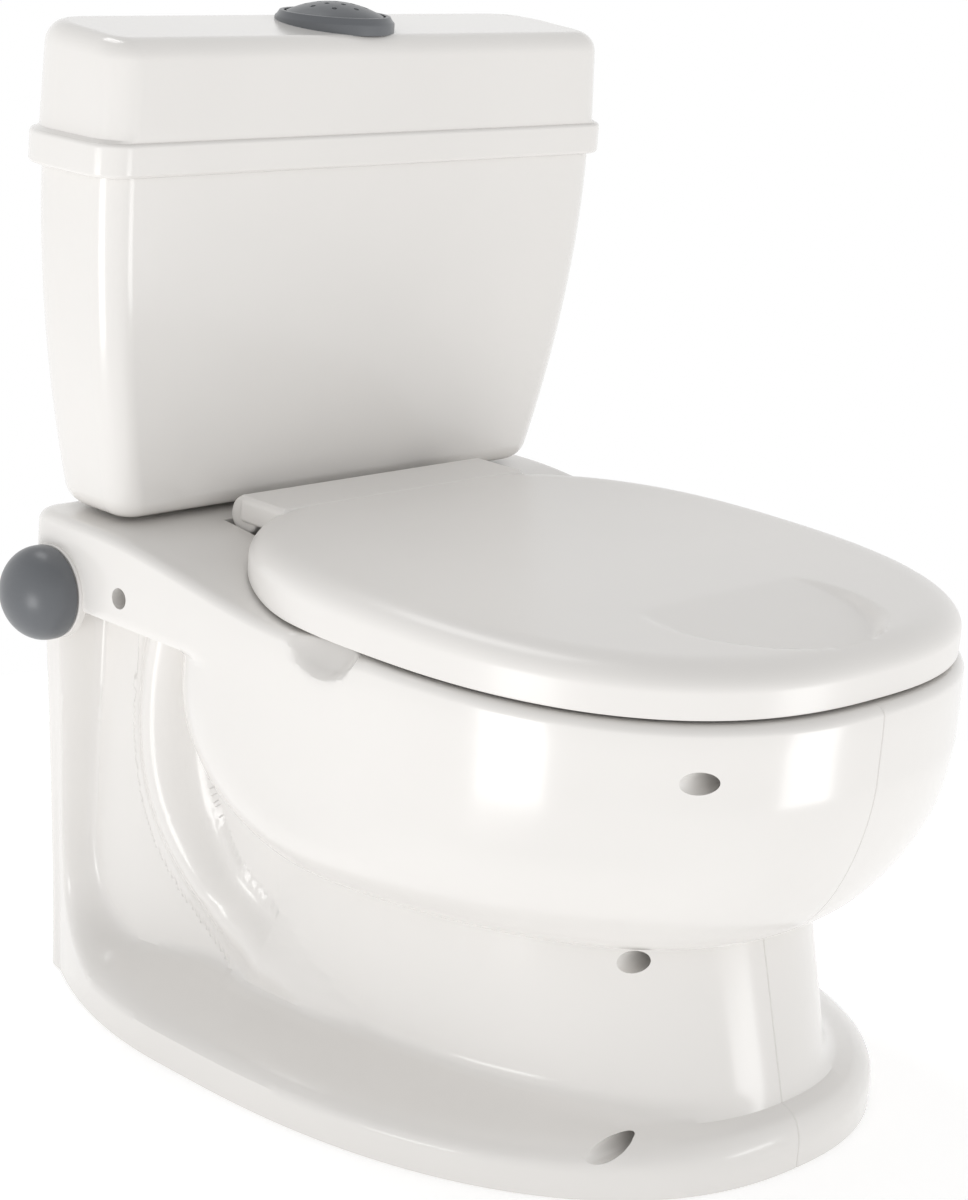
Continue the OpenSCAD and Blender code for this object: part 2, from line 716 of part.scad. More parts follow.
module bumper(z0, z1, stem) {
  translate([0, 0, z0]) cylinder(r = 4.5, h = z1 - z0);
  translate([0, 0, z1]) cylinder(r = 2.5, h = stem);
}

module seat_bumpers() {
  color("gainsboro") both_sides() for (b = bumper_spots)
    translate([b[0], b[1], 0]) bumper(rim_z + gap, ring_bottom, 3);
}

// ---------- lid ----------
lid_bottom = rim_z + 1.5;
lid_wall = 3;
lid_outline = [lid_half, 141, 122, bowl_yc, 2.5];
bar_r = lid_z - hinge_z;
lid_drop = 4;
thumb_back = -85;
thumb_r = 50;
thumb_tilt = 4.5;
lid_bumper_spots = [[92, -60], [92, 20]];

// The lid's top face falls towards the front
function lid_top_at(y) = lid_z - lid_drop * (hinge_y - y) / (hinge_y - front_y);
function leaned(ring) = [
  for (p = ring)
    [p[0], p[1], p[2] - (lid_z - lid_top_at(p[1])) * clamp01((p[2] - lid_bottom) / (lid_z - lid_bottom))]
];

// Thumb scoop: a round recess with a floor that falls towards the front
module thumb_scoop(r, lower) {
  translate([0, thumb_back, lid_top_at(thumb_back)])
    rotate([thumb_tilt, 0, 0])
      translate([0, -17, -lower]) cylinder(r = r, h = 30, $fn = 96);
}
module lid_shell() {
  inner = [[lid_bottom - 3, 0], [lid_z - 9, 0], [lid_z - 4.5, 3], [lid_z - lid_wall, 7]];
  difference() {
    loft([for (ring = rounded_egg_rings(lid_outline, lid_bottom, lid_z, 11, 15, 5)) leaned(ring)]);
    difference() {
      loft([
        for (l = inner)
          let (t = lid_wall + l[1], o = lid_outline)
          leaned(egg(o[0] - t, o[1] - t, o[2] - t, o[3], o[4], l[0]))
      ]);
      thumb_scoop(thumb_r + 2.5, 2.2);
    }
    above_deck(1.5);
    thumb_scoop(thumb_r, 0);
    translate([-end_x[0] + gap, 60, 150]) cube([2 * (end_x[0] - gap), hinge_y - 60, lid_z - lid_wall - 150]);
  }
}

// Room in the hinge bar for the pot's post and the seat's knuckle, from below the hinge
module bar_gap(width, depth, height) {
  both_sides() translate([rib_x[1] + gap, hinge_y - 30, hinge_z - 20]) cube([width, depth, height]);
}

module hinge_bar() {
  bay = end_x[0] - rib_x[1] - 2 * gap;
  under_top = 20 + lid_z - lid_wall - hinge_z;
  difference() {
    union() {
      x_rod(-end_x[1], end_x[1], hinge_y, hinge_z, bar_r);
      translate([-end_x[1], hinge_y - 22, lid_z - lid_wall]) cube([2 * end_x[1], 22, lid_wall]);
      translate([-end_x[1], hinge_y - 1, hinge_z]) cube([2 * end_x[1], bar_r - 3, bar_r]);
    }
    difference() {
      x_rod(-end_x[0] + gap, end_x[0] - gap, hinge_y, hinge_z, bar_r - 2);
      both_sides() x_rod(rib_x[0], rib_x[1], hinge_y, hinge_z, bar_r);
    }
    bar_gap(bay, 30, under_top);
    bar_gap(bay, 60, 20);
    bar_gap(post_x[1] + 1 - rib_x[1], 60, under_top);
    translate([-rib_x[0], hinge_y - 30, hinge_z - 20]) cube([2 * rib_x[0], 60, 20]);
  }
}

module lid() {
  color("white") difference() {
    union() {
      lid_shell();
      hinge_bar();
    }
    both_sides() x_rod(rib_x[0] - 1, end_x[1] - 2, hinge_y, hinge_z, pin_r + fit);
    both_sides() for (b = lid_bumper_spots)
      translate([b[0], b[1], lid_top_at(b[1]) - lid_wall - 1]) cylinder(r = 2.5, h = 2.5);
  }
}

module lid_bumpers() {
  color("gainsboro") both_sides() for (b = lid_bumper_spots)
    translate([b[0], b[1], 0]) bumper(ring_top + gap, lid_top_at(b[1]) - lid_wall - gap, 1.8);
}

// ---------- roll holder ----------
knob_face = pad_x - 0.8;
module roll_spindle() {
  stop_x = pad_x + 4 + spindle_travel + 0.5;
  color("whitesmoke") difference() {
    union() {
      x_rod(knob_face - 8, stop_x, roll_y, roll_z, spindle_r);
      x_rod(stop_x, stop_x + 4, roll_y, roll_z, sleeve_r - 0.2);
    }
    x_rod(knob_face - 2, stop_x + 6, roll_y, roll_z, spindle_r - 2);
  }
}

module roll_knob() {
  color("dimgray") difference() {
    union() {
      x_rod(knob_face - 3, knob_face, roll_y, roll_z, knob_r);
      intersection() {
        translate([knob_face - 3 + 3.5, roll_y, roll_z]) sphere(r = knob_r + 0.4, $fn = 96);
        x_rod(knob_face - 30, knob_face - 3, roll_y, roll_z, knob_r);
      }
    }
    x_rod(knob_face - 8, knob_face + 1, roll_y, roll_z, spindle_r);
  }
}

base_shell_right();
base_shell_left();
base_screws();
tank_body();
tank_screws();
pot();
hinge_pins();
seat_ring();
seat_bumpers();
lid();
lid_bumpers();
tank_cover();
button_bezel();
flush_button();
button_spring();
sound_box();
sound_box_screws();
circuit_board();
sound_switch();
speaker();
batteries();
battery_contacts();
battery_cover();
battery_cover_screw();
roll_spindle();
roll_knob();
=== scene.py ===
"""Potty training chair: the visible surfaces, materials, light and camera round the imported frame.

Shapes are worked out in millimetres, in the frame of the CAD model, and turned into metres
when a mesh is made. The shells are rebuilt finely from the same curves as the CAD model.
"""

import math

import bmesh
import bpy
import numpy as np
from mathutils import Matrix, Vector


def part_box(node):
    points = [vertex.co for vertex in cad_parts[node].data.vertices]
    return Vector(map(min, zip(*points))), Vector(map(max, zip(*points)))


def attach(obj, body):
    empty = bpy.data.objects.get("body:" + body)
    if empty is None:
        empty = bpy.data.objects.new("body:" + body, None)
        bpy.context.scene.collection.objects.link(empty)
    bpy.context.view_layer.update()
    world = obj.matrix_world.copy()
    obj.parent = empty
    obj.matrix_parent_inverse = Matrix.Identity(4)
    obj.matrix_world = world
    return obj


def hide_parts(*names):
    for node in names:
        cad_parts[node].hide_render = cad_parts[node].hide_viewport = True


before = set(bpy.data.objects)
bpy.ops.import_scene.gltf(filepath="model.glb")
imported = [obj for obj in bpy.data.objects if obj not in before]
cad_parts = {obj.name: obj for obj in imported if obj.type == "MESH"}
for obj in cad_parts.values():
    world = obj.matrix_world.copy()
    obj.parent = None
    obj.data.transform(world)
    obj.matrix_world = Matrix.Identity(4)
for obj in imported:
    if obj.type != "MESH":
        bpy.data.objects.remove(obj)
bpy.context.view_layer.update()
scene = bpy.context.scene
MM = 0.001


# ---------- sizes taken from the frame, in millimetres ----------
def node_box(name):
    """Low and high corner of a CAD node."""
    low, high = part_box(name)
    return np.array(low) / MM, np.array(high) / MM


SHELL_LOW, SHELL_HIGH = node_box("base_shell_left")
TANK_LOW, TANK_HIGH = node_box("tank_body")
COVER_LOW, COVER_HIGH = node_box("tank_cover")
LID_HIGH = node_box("lid")[1]
RING_LOW, RING_HIGH = node_box("seat_ring")
PIN_LOW, PIN_HIGH = node_box("hinge_pins")
BUTTON_LOW, BUTTON_HIGH = node_box("flush_button")
BEZEL_LOW, BEZEL_HIGH = node_box("button_bezel")
KNOB_LOW, KNOB_HIGH = node_box("roll_knob")

FRONT_Y = SHELL_LOW[1]
BACK_Y = SHELL_HIGH[1]
DECK_Z = SHELL_HIGH[2]
DECK_HALF = 127.0
FOOT_HALF = 137.0
RIM_Z = 187.0
SHELL_WALL = 3.5
HINGE_Y = float(PIN_LOW[1] + PIN_HIGH[1]) / 2
HINGE_Z = float(PIN_LOW[2] + PIN_HIGH[2]) / 2
PIN_R = 1.75
PIN_PLAY = 0.05
LID_Z = float(LID_HIGH[2])
GAP = 0.3
PAST = 20  # how far a cutting tool reaches past the surface that it opens


# ---------- small functions ----------
def clamp01(v):
    return np.clip(v, 0.0, 1.0)


def mix(a, b, t):
    return a + (b - a) * t


def ease(start, end, v):
    """Smooth rise from 0 at start to 1 at end."""
    t = clamp01((v - start) / (end - start))
    return t * t * (3 - 2 * t)


def soft_max(a, b, k):
    """Rounded maximum, blended over a difference of about k."""
    h = clamp01(0.5 + 0.5 * (a - b) / k)
    return mix(b, a, h) + k * h * (1 - h)


def signed_pow(v, p):
    return np.sign(v) * np.abs(v) ** p


# ---------- mesh tools ----------
def new_object(name, points, faces):
    """A mesh object from points in millimetres, with its normals outwards."""
    mesh = bpy.data.meshes.new(name)
    mesh.from_pydata([tuple(float(c) * MM for c in p) for p in points], [], faces)
    obj = bpy.data.objects.new(name, mesh)
    scene.collection.objects.link(obj)
    bm = bmesh.new()
    bm.from_mesh(mesh)
    bmesh.ops.remove_doubles(bm, verts=bm.verts, dist=1e-6)
    bmesh.ops.recalc_face_normals(bm, faces=bm.faces)
    bm.to_mesh(mesh)
    bm.free()
    return obj


def loft(name, rings):
    """Closed solid through rings of the same number of points."""
    m = len(rings[0])
    faces = [list(range(m)), [(len(rings) - 1) * m + j for j in reversed(range(m))]]
    for i in range(len(rings) - 1):
        for j in range(m):
            a, b = i * m + j, i * m + (j + 1) % m
            faces.append([a, b, b + m, a + m])
    return new_object(name, [p for ring in rings for p in ring], faces)


def lathe(name, profile, origin, direction, segments=128):
    """Solid of revolution from (radius, height) points, about a line from origin."""
    turn = Vector((0, 0, 1)).rotation_difference(Vector(direction)).to_matrix()
    rings = []
    for r, h in profile:
        ring = []
        for i in range(segments):
            a = 2 * math.pi * i / segments
            ring.append(Vector(origin) + turn @ Vector((r * math.cos(a), r * math.sin(a), h)))
        rings.append(ring)
    return loft(name, rings)


def rod(name, start, end, r, soft=0.0, segments=64):
    """Round rod between two points, with its rims rounded over soft."""
    length = (Vector(end) - Vector(start)).length
    if soft:
        arc = [math.radians(a) for a in (0, 30, 60, 90)]
        low = [(r - soft + soft * math.sin(a), soft - soft * math.cos(a)) for a in arc]
        high = [(r - soft + soft * math.cos(a), length - soft + soft * math.sin(a)) for a in arc]
        profile = low + high
    else:
        profile = [(r, 0), (r, length)]
    return lathe(name, profile, start, (Vector(end) - Vector(start)).normalized(), segments)


def upright(name, x, y, z0, z1, r, soft=0.0, segments=64):
    """Upright rod at x and y."""
    return rod(name, (x, y, z0), (x, y, z1), r, soft, segments)


def hinge_rod(name, x0, x1, r, soft=0.0, segments=64):
    """Rod along the hinge line."""
    return rod(name, (x0, HINGE_Y, HINGE_Z), (x1, HINGE_Y, HINGE_Z), r, soft, segments)


def pin_bore(x0, x1):
    """Tool for the bore of a hinge pin."""
    return hinge_rod("bore", x0, x1, PIN_R + PIN_PLAY, segments=40)


def block(name, low, high, soft=0.0):
    """Box between two corners, with its edges rounded over soft."""
    xs, ys, zs = zip(low, high)
    points = [(x, y, z) for z in zs for y in ys for x in xs]
    faces = [[0, 1, 3, 2], [4, 5, 7, 6], [0, 1, 5, 4], [2, 3, 7, 6], [0, 2, 6, 4], [1, 3, 7, 5]]
    obj = new_object(name, points, faces)
    if soft:
        bm = bmesh.new()
        bm.from_mesh(obj.data)
        bmesh.ops.bevel(
            bm, geom=bm.edges[:], offset=soft * MM, segments=4, profile=0.5, affect="EDGES"
        )
        bm.to_mesh(obj.data)
        bm.free()
    return obj


def combine(obj, tools, operation):
    """Joins the tools to obj, or cuts them out of it."""
    for tool in tools:
        modifier = obj.modifiers.new("combine", "BOOLEAN")
        modifier.operation = operation
        modifier.object = tool
        modifier.solver = "MANIFOLD"
        graph = bpy.context.evaluated_depsgraph_get()
        mesh = bpy.data.meshes.new_from_object(obj.evaluated_get(graph))
        obj.modifiers.clear()
        obj.data = mesh
        bpy.data.objects.remove(tool)
    return obj


def cut(obj, *tools):
    return combine(obj, tools, "DIFFERENCE")


def join(obj, *tools):
    return combine(obj, tools, "UNION")


def finish_mesh(obj, angle=32):
    """Smooth shading that stays sharp at real edges."""
    bm = bmesh.new()
    bm.from_mesh(obj.data)
    bmesh.ops.remove_doubles(bm, verts=bm.verts, dist=2e-6)
    bmesh.ops.dissolve_degenerate(bm, edges=bm.edges, dist=1e-6)
    bm.to_mesh(obj.data)
    bm.free()
    obj.data.shade_smooth()
    obj.data.set_sharp_from_angle(angle=math.radians(angle))
    weighted = obj.modifiers.new("weighted", "WEIGHTED_NORMAL")
    weighted.keep_sharp = True
    return obj


def place(obj, body, node, material):
    """Hands a finished piece to the frame in place of its CAD node."""
    obj.name = node + "_fine"
    obj.data.materials.clear()
    obj.data.materials.append(material)
    finish_mesh(obj)
    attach(obj, body)
    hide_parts(node)
    return obj


# ---------- outlines ----------
def egg(a, f, r, yc, n, z, m=200):
    """Egg-shaped ring: half width a, reaching f to the front and r to the back of yc."""
    t = np.linspace(0, 2 * math.pi, m, endpoint=False)
    c, s = np.cos(t), np.sin(t)
    x = a * signed_pow(s, 2 / n)
    y = yc - np.where(c > 0, f, r) * signed_pow(c, 2 / n)
    return np.stack([x, y, np.full(m, float(z))], 1)


def box_ring(w, y0, y1, r, rear, z, steps=12):
    """Rounded rectangle of half width w from y0 to y1."""
    points = []
    for sx, back, start in ((1, 0, -90), (1, 1, 0), (-1, 1, 90), (-1, 0, 180)):
        c = rear if back else r
        for i in range(steps + 1):
            a = math.radians(start + 90 * i / steps)
            y = (y1 - c if back else y0 + c) + c * math.sin(a)
            points.append((sx * (w - c) + c * math.cos(a), y, z))
    return np.array(points)


# ---------- shape of the base ----------
CORE_HALF = 90  # half width where a form isn't there, inside all the others
FOOT_Z, LEDGE_Z = 8, 23
FOOT_FRONT, LEDGE_FRONT, NECK_FRONT = -152, -142, -124
BOWL_CURVE = 1.6
NOSE_FULL_Z = 135
NECK_N, BOWL_N = 2.3, 2.4
DECK_RISE = (10, 128)
FOOT_TAPER, FOOT_TAPER_Y, FOOT_TAPER_RUN = 14, 60, 70
PANEL_HALF = (98, 107)
PANEL_WIDENS_Y = (70, 118)
PANEL_STEP = 3
BOWL_EDGE_Y, BOWL_EDGE_Z, BOWL_EDGE_SLANT = (8, 26), 89, 0.6
HOLLOW_Y, HOLLOW_Z, HOLLOW_REACH = 10, 55, (40, 70)
FRAME_Y, FRAME_Z, FRAME_R = 103, 67, 45
FRAME_FLARE = 1.2
FRAME_SLOPE_START, FRAME_SLOPE_ENDS, FRAME_STEEPENS_Z = -13, (10, 2), (25, 60)
BOWL_SHOULDER = 0.42
DECK_WALL_Z = (153, 166)
FOOT_YC = 40
BOWL_YC = -22
NECK_Z = 87
FULL_Z = 158
BOWL_REAR_YC = -5
BOWL_REAR_RUN = 93
BOWL_REAR_ZC = 150
ROUND_Z = 178
TOP_ROUND = 5
CORNER_R = 13
SEAM_DEPTH = 0.5
SCOOP = np.array([DECK_HALF + 9, -7, 195.6])
SCOOP_R = 23
SCOOP_SOFT = 2.5


def front_at(z):
    """Front edge of the base at height z: foot band, ledge, pedestal, bowl."""
    z = np.asarray(z, float)
    step = np.sqrt(1 - clamp01((z - FOOT_Z) / (LEDGE_Z - FOOT_Z)) ** 2)
    ledge = LEDGE_FRONT + (FOOT_FRONT - LEDGE_FRONT) * step
    pedestal = mix(LEDGE_FRONT, NECK_FRONT, clamp01((z - LEDGE_Z) / (NECK_Z - LEDGE_Z)))
    below = clamp01((FULL_Z - z) / (FULL_Z - NECK_Z))
    bowl = mix(NECK_FRONT, FRONT_Y, np.sqrt(1 - below**BOWL_CURVE))
    upper = np.where(z < NECK_Z, pedestal, bowl)
    return np.where(z < FOOT_Z, FOOT_FRONT, np.where(z < LEDGE_Z, ledge, upper))


def nose_yc(z):
    """Y where the round nose meets the sides."""
    return mix(FOOT_YC, BOWL_YC, ease(NECK_Z - 2, NOSE_FULL_Z, z))


def nose_n(z):
    """Exponent of the nose's curve, 2 being an ellipse."""
    return mix(NECK_N, BOWL_N, ease(NECK_Z, NOSE_FULL_Z, z))


def top_at(y):
    """Height of the base's top, which rises to the deck behind the bowl."""
    return mix(RIM_Z, DECK_Z, ease(*DECK_RISE, y))


def foot_side(y):
    """Half width of the foot, which narrows towards the back."""
    return FOOT_HALF - FOOT_TAPER * (np.maximum(0, y - FOOT_TAPER_Y) / FOOT_TAPER_RUN) ** 2


def panel_side(y, z):
    """Recessed side panel between the bowl and the rear frame."""
    wall = mix(*PANEL_HALF, ease(*PANEL_WIDENS_Y, y))
    from_bowl = y + (z - BOWL_EDGE_Z) * BOWL_EDGE_SLANT
    near_bowl = PANEL_STEP * (1 - ease(*BOWL_EDGE_Y, from_bowl))
    from_middle = np.abs(z - HOLLOW_Z) + np.maximum(0, y - HOLLOW_Y)
    hollow = PANEL_STEP * (1 - ease(*HOLLOW_REACH, from_middle))
    return wall + near_bowl - hollow


def frame_side(y, z):
    """Raised frame: foot flare below and upright band at the back, round one big corner."""
    outer = mix(foot_side(y), DECK_HALF, clamp01(z / DECK_Z) ** FRAME_FLARE)
    corner = np.hypot(np.maximum(0, y - FRAME_Y), np.maximum(0, FRAME_Z - z)) - FRAME_R
    slope_end = mix(*FRAME_SLOPE_ENDS, ease(*FRAME_STEEPENS_Z, z))
    return mix(CORE_HALF, outer, ease(FRAME_SLOPE_START, slope_end, corner))


def bowl_side(y, z):
    """Bulging side of the bowl with its folded lower edge."""
    across = np.maximum(0, y - BOWL_REAR_YC) / BOWL_REAR_RUN
    down = np.maximum(0, BOWL_REAR_ZC - z) / (BOWL_REAR_ZC - NECK_Z - 1)
    inside = 1 - np.hypot(across, down)
    bulge = np.sqrt(1 - (1 - clamp01(inside / BOWL_SHOULDER)) ** 2)
    return np.where(inside <= 0, CORE_HALF, mix(PANEL_HALF[0], DECK_HALF, bulge))


def deck_side(z):
    """Half width of the wall just below the deck."""
    return mix(CORE_HALF, DECK_HALF, ease(*DECK_WALL_Z, z))


RIDGE_ENDS = [np.array(p, float) for p in ((99, 160), (113, 70), (62, 50), (5, 20))]
RIDGE_STEPS = 40
RIDGE_REACH = 18
RIDGE_HEIGHT = 11
RIDGE_FADE = (8, 62)


def ridge_line():
    """Points of the rib's middle in the side view, a curve between its end points."""
    points = []
    for i in range(RIDGE_STEPS + 1):
        t = i / RIDGE_STEPS
        weights = ((1 - t) ** 3, 3 * (1 - t) ** 2 * t, 3 * (1 - t) * t * t, t**3)
        points.append(sum(w * p for w, p in zip(weights, RIDGE_ENDS)))
    return points


RIDGE_LINE = ridge_line()


def ridge_side(y, z):
    """Raised rib that sweeps from under the deck down into the pedestal."""
    best = np.full(np.shape(y + z), np.inf)
    for a, b in zip(RIDGE_LINE, RIDGE_LINE[1:]):
        step = b - a
        t = clamp01(((y - a[0]) * step[0] + (z - a[1]) * step[1]) / (step @ step))
        best = np.minimum(best, np.hypot(y - a[0] - step[0] * t, z - a[1] - step[1] * t))
    d = clamp01(best / RIDGE_REACH)
    height = RIDGE_HEIGHT * np.cos(math.pi / 2 * d) ** 2 * ease(*RIDGE_FADE, z)
    return np.where(d >= 1, CORE_HALF, panel_side(y, z) + height)


RIDGE_BLEND, FRAME_BLEND, DECK_BLEND, BOWL_BLEND = 5, 8, 3, 2
FRAME_SINK, BOWL_SINK = 0.8, 0.5


def side_at(y, z):
    """Half width of the base at a point of the side view."""
    ribbed = soft_max(panel_side(y, z), ridge_side(y, z), RIDGE_BLEND)
    framed = soft_max(ribbed, frame_side(y, z), FRAME_BLEND) - FRAME_SINK
    upper = np.minimum(DECK_HALF, soft_max(bowl_side(y, z), deck_side(z), DECK_BLEND))
    return np.maximum(soft_max(framed, upper, BOWL_BLEND) - BOWL_SINK, upper)


NOSE_STEPS, SIDE_STEPS, CORNER_STEPS = 48, 110, 8


def half_row(z, wall=0.0, trim=0.0):
    """Half ring at height z, from the front seam to the back seam."""
    yc, n = float(nose_yc(z)), float(nose_n(z))
    front = max(float(front_at(z + d)) for d in (-wall, 0, wall)) + wall
    rear = BACK_Y - CORNER_R

    def side(y):
        return np.min([side_at(y, z + d) for d in (-wall, 0, wall)], axis=0) - wall - trim

    t = np.linspace(0, math.pi / 2, NOSE_STEPS + 1)
    y = yc - (yc - front - trim) * np.cos(t) ** (2 / n)
    nose = np.stack([side(y) * np.sin(t) ** (2 / n), y], 1)
    y = np.linspace(yc, rear, SIDE_STEPS + 1)[1:]
    flank = np.stack([side(y), y], 1)
    r = CORNER_R - wall - trim
    a = np.linspace(0, math.pi / 2, CORNER_STEPS + 1)[1:]
    corner = np.stack([flank[-1, 0] - r * (1 - np.cos(a)), rear + r * np.sin(a)], 1)
    return np.concatenate([nose, flank, corner, [[0, BACK_Y - wall - trim]]])


def levels(*stops, step=2.2):
    """Heights through the stops, about step apart."""
    out = []
    for a, b in zip(stops, stops[1:]):
        out += list(np.linspace(a, b, max(2, int(round((b - a) / step)) + 1))[:-1])
    return out + [stops[-1]]


def pushed_out(points, radius):
    """Points moved out of the finger scoop's ball, with a soft edge."""
    d = points - SCOOP
    reach = np.linalg.norm(d, axis=1)
    return SCOOP + d * (soft_max(reach, radius, SCOOP_SOFT) / reach)[:, None]


def half_solid(name, rings, x0, radius):
    """Closed solid on the +X side of the plane X = x0 through a stack of half rings."""
    m, k = len(rings[0]), len(rings)
    rings = [ring.copy() for ring in rings]
    for ring in rings:
        ring[:, :] = pushed_out(ring, radius)
        ring[0, 0] = ring[-1, 0] = x0
    points = [p for ring in rings for p in ring]
    axis = len(points)
    points += [(x0, p[1], p[2]) for p in rings[-1][1:-1]]
    faces = []
    for i in range(k - 1):
        for j in range(m - 1):
            a = i * m + j
            faces.append([a, a + 1, a + m + 1, a + m])
    last = (k - 1) * m
    faces.append([last, last + 1, axis])
    for j in range(1, m - 2):
        faces.append([last + j, last + j + 1, axis + j, axis + j - 1])
    faces.append([last + m - 2, last + m - 1, axis + m - 3])
    edge = [i * m for i in range(k)] + [axis + j for j in range(m - 2)]
    edge += [i * m + m - 1 for i in reversed(range(k))]
    faces.append(edge)
    faces.append(list(range(m)))
    return new_object(name, points, faces)


def with_seam(row):
    """Adds a fine groove where the two halves meet."""
    start, end = row[0], row[-1]
    first = [[0, start[1] + SEAM_DEPTH], [SEAM_DEPTH, start[1]]]
    last = [[SEAM_DEPTH, end[1]], [0, end[1] - SEAM_DEPTH]]
    return np.concatenate([first, row[1:-1], last])


def lifted(row, z):
    """Half row as points in space at height z, which may differ from point to point."""
    return np.column_stack([row, np.full(len(row), z)])


TOP_STEP = 1.5
TOP_REACH = 16
BOWL_LEVEL_STEP = 1.3


def skin_rings():
    """Half rings of the outer surface: up the side, round the top edge and in over the top."""
    heights = levels(0, FOOT_Z, LEDGE_Z, NECK_Z - 1, NECK_Z + 1.5)[:-1]
    heights += levels(NECK_Z + 1.5, FULL_Z, step=BOWL_LEVEL_STEP)[:-1] + levels(FULL_Z, ROUND_Z)
    rings = [lifted(with_seam(half_row(z)), z) for z in heights]
    for a in np.radians(np.arange(15, 91, 15)):
        row = with_seam(half_row(ROUND_Z, 0, TOP_ROUND * (1 - math.cos(a))))
        rings.append(lifted(row, top_at(row[:, 1]) - TOP_ROUND * (1 - math.sin(a))))
    for trim in np.arange(TOP_ROUND + TOP_STEP, TOP_REACH, TOP_STEP):
        row = with_seam(half_row(ROUND_Z, 0, min(trim, CORNER_R - 0.5)))
        less = max(0, trim - CORNER_R + 0.5)
        row[:, 0] = np.maximum(row[:, 0] - less, row[:, 0] * 0.5)
        rings.append(lifted(row, top_at(row[:, 1])))
    return rings


def cavity_rings():
    """Half rings of the hollow under the outer surface."""
    heights = levels(-1, 20, NECK_Z - 4, NECK_Z + 5, ROUND_Z, step=4)
    rings = [lifted(half_row(max(z, 0), SHELL_WALL), z) for z in heights]
    row = half_row(ROUND_Z, SHELL_WALL, 2)
    rings.append(lifted(row, top_at(row[:, 1]) - SHELL_WALL))
    return rings


# Each screw of the shells: y, z and how far from the seam its counterbore ends.
SHELL_SCREWS = ((107, 176, 30), (-147.5, 167, 22), (-106.5, 80.5, 20), (-122, 18, 20))
SCREW_POST_R = 6.5
HEAD_R, SCREW_WAY_R, THREAD_R, THREAD_DEPTH = 4.2, 2.3, 1.7, 16
# Egg outlines: half width, reach to the front, reach to the back, middle y and exponent.
FLANGE = (108, 128, 100, BOWL_YC, BOWL_N)
OPENING = (101, 121, 93, BOWL_YC, BOWL_N)
FLANGE_T = 3
FLANGE_PLAY = 0.4
LIP_WIDTH = 11
POCKET_FRONT = 70
POCKET_HALF = 69.5
POCKET_BACK = 113.2
TANK_SCREW = (70, 145)
TANK_BOSS_R, TANK_HEAD_R, TANK_WAY_R = 7, 4.5, 2.2
TANK_HEAD_Z = 194
ROLL_Y = float(KNOB_LOW[1] + KNOB_HIGH[1]) / 2
ROLL_Z = float(KNOB_LOW[2] + KNOB_HIGH[2]) / 2
KNOB_R = float(KNOB_HIGH[2] - KNOB_LOW[2]) / 2
PAD_X = -DECK_HALF - 1.5
PAD_T = 4
SLEEVE_R, SLEEVE_WALL = 9.3, 2.5
SPINDLE_R, SPINDLE_PLAY = 6.5, 0.1
CROSS_RIB = 3
CROSS_RIB_Z = 22
CROSS_RIB_X = (14, 110)


def egg_block(name, outline, grow, z0, z1):
    """Upright solid over an egg outline that is grown all round."""
    a, f, r, yc, n = outline
    return loft(name, [egg(a + grow, f + grow, r + grow, yc, n, z) for z in (z0, z1)])


def half_shell(side):
    """One base half: side is 1 for the left half (+X) and -1 for the right half."""
    shell = half_solid("shell", skin_rings(), 0, SCOOP_R)
    cavity = half_solid("cavity", cavity_rings(), -1, SCOOP_R + SHELL_WALL)
    posts = [
        rod("post", (-2, y, z), (DECK_HALF, y, z), SCREW_POST_R, segments=40)
        for y, z, _ in SHELL_SCREWS
    ]
    floor_z = RIM_Z - FLANGE_T
    lip = egg_block("lip", OPENING, LIP_WIDTH, floor_z - SHELL_WALL, RIM_Z + 10)
    cut(lip, egg_block("hole", OPENING, 0, RIM_Z - PAST, RIM_Z + PAST))
    pocket = block(
        "pocket",
        (-3, POCKET_FRONT, floor_z - SHELL_WALL),
        (POCKET_HALF + SHELL_WALL, POCKET_BACK + SHELL_WALL, RIM_Z + PAST),
    )
    boss = upright("boss", *TANK_SCREW, 190, 210, TANK_BOSS_R, segments=40)
    cut(cavity, *posts, pocket, lip, boss)
    cut(
        shell,
        cavity,
        egg_block("hole", OPENING, 0, RIM_Z - PAST, RIM_Z + PAST),
        egg_block("rebate", FLANGE, FLANGE_PLAY, floor_z, RIM_Z + PAST),
        block("pocket", (-2, POCKET_FRONT, floor_z), (POCKET_HALF, POCKET_BACK, RIM_Z + 30)),
        upright("screw_way", *TANK_SCREW, 180, 210, TANK_WAY_R, segments=32),
        upright("screw_room", *TANK_SCREW, 180, TANK_HEAD_Z, TANK_HEAD_R, segments=32),
    )
    if side < 0:
        shell.data.transform(Matrix.Scale(-1, 4, (1, 0, 0)))
        shell.data.flip_normals()
    return shell


def base_left():
    """Left half, with a cross rib and the screws' threaded holes."""
    shell = half_shell(1)
    near, far = CROSS_RIB_X
    join(shell, block("rib", (-near, -CROSS_RIB, 0), (far, CROSS_RIB, CROSS_RIB_Z)))
    for y, z, _ in SHELL_SCREWS:
        cut(shell, rod("thread", (-1, y, z), (THREAD_DEPTH, y, z), THREAD_R, segments=32))
    return shell


def roll_rod(name, x0, x1, r, soft=0.0, segments=64):
    """Rod along the roll holder's axis."""
    return rod(name, (x0, ROLL_Y, ROLL_Z), (x1, ROLL_Y, ROLL_Z), r, soft, segments)


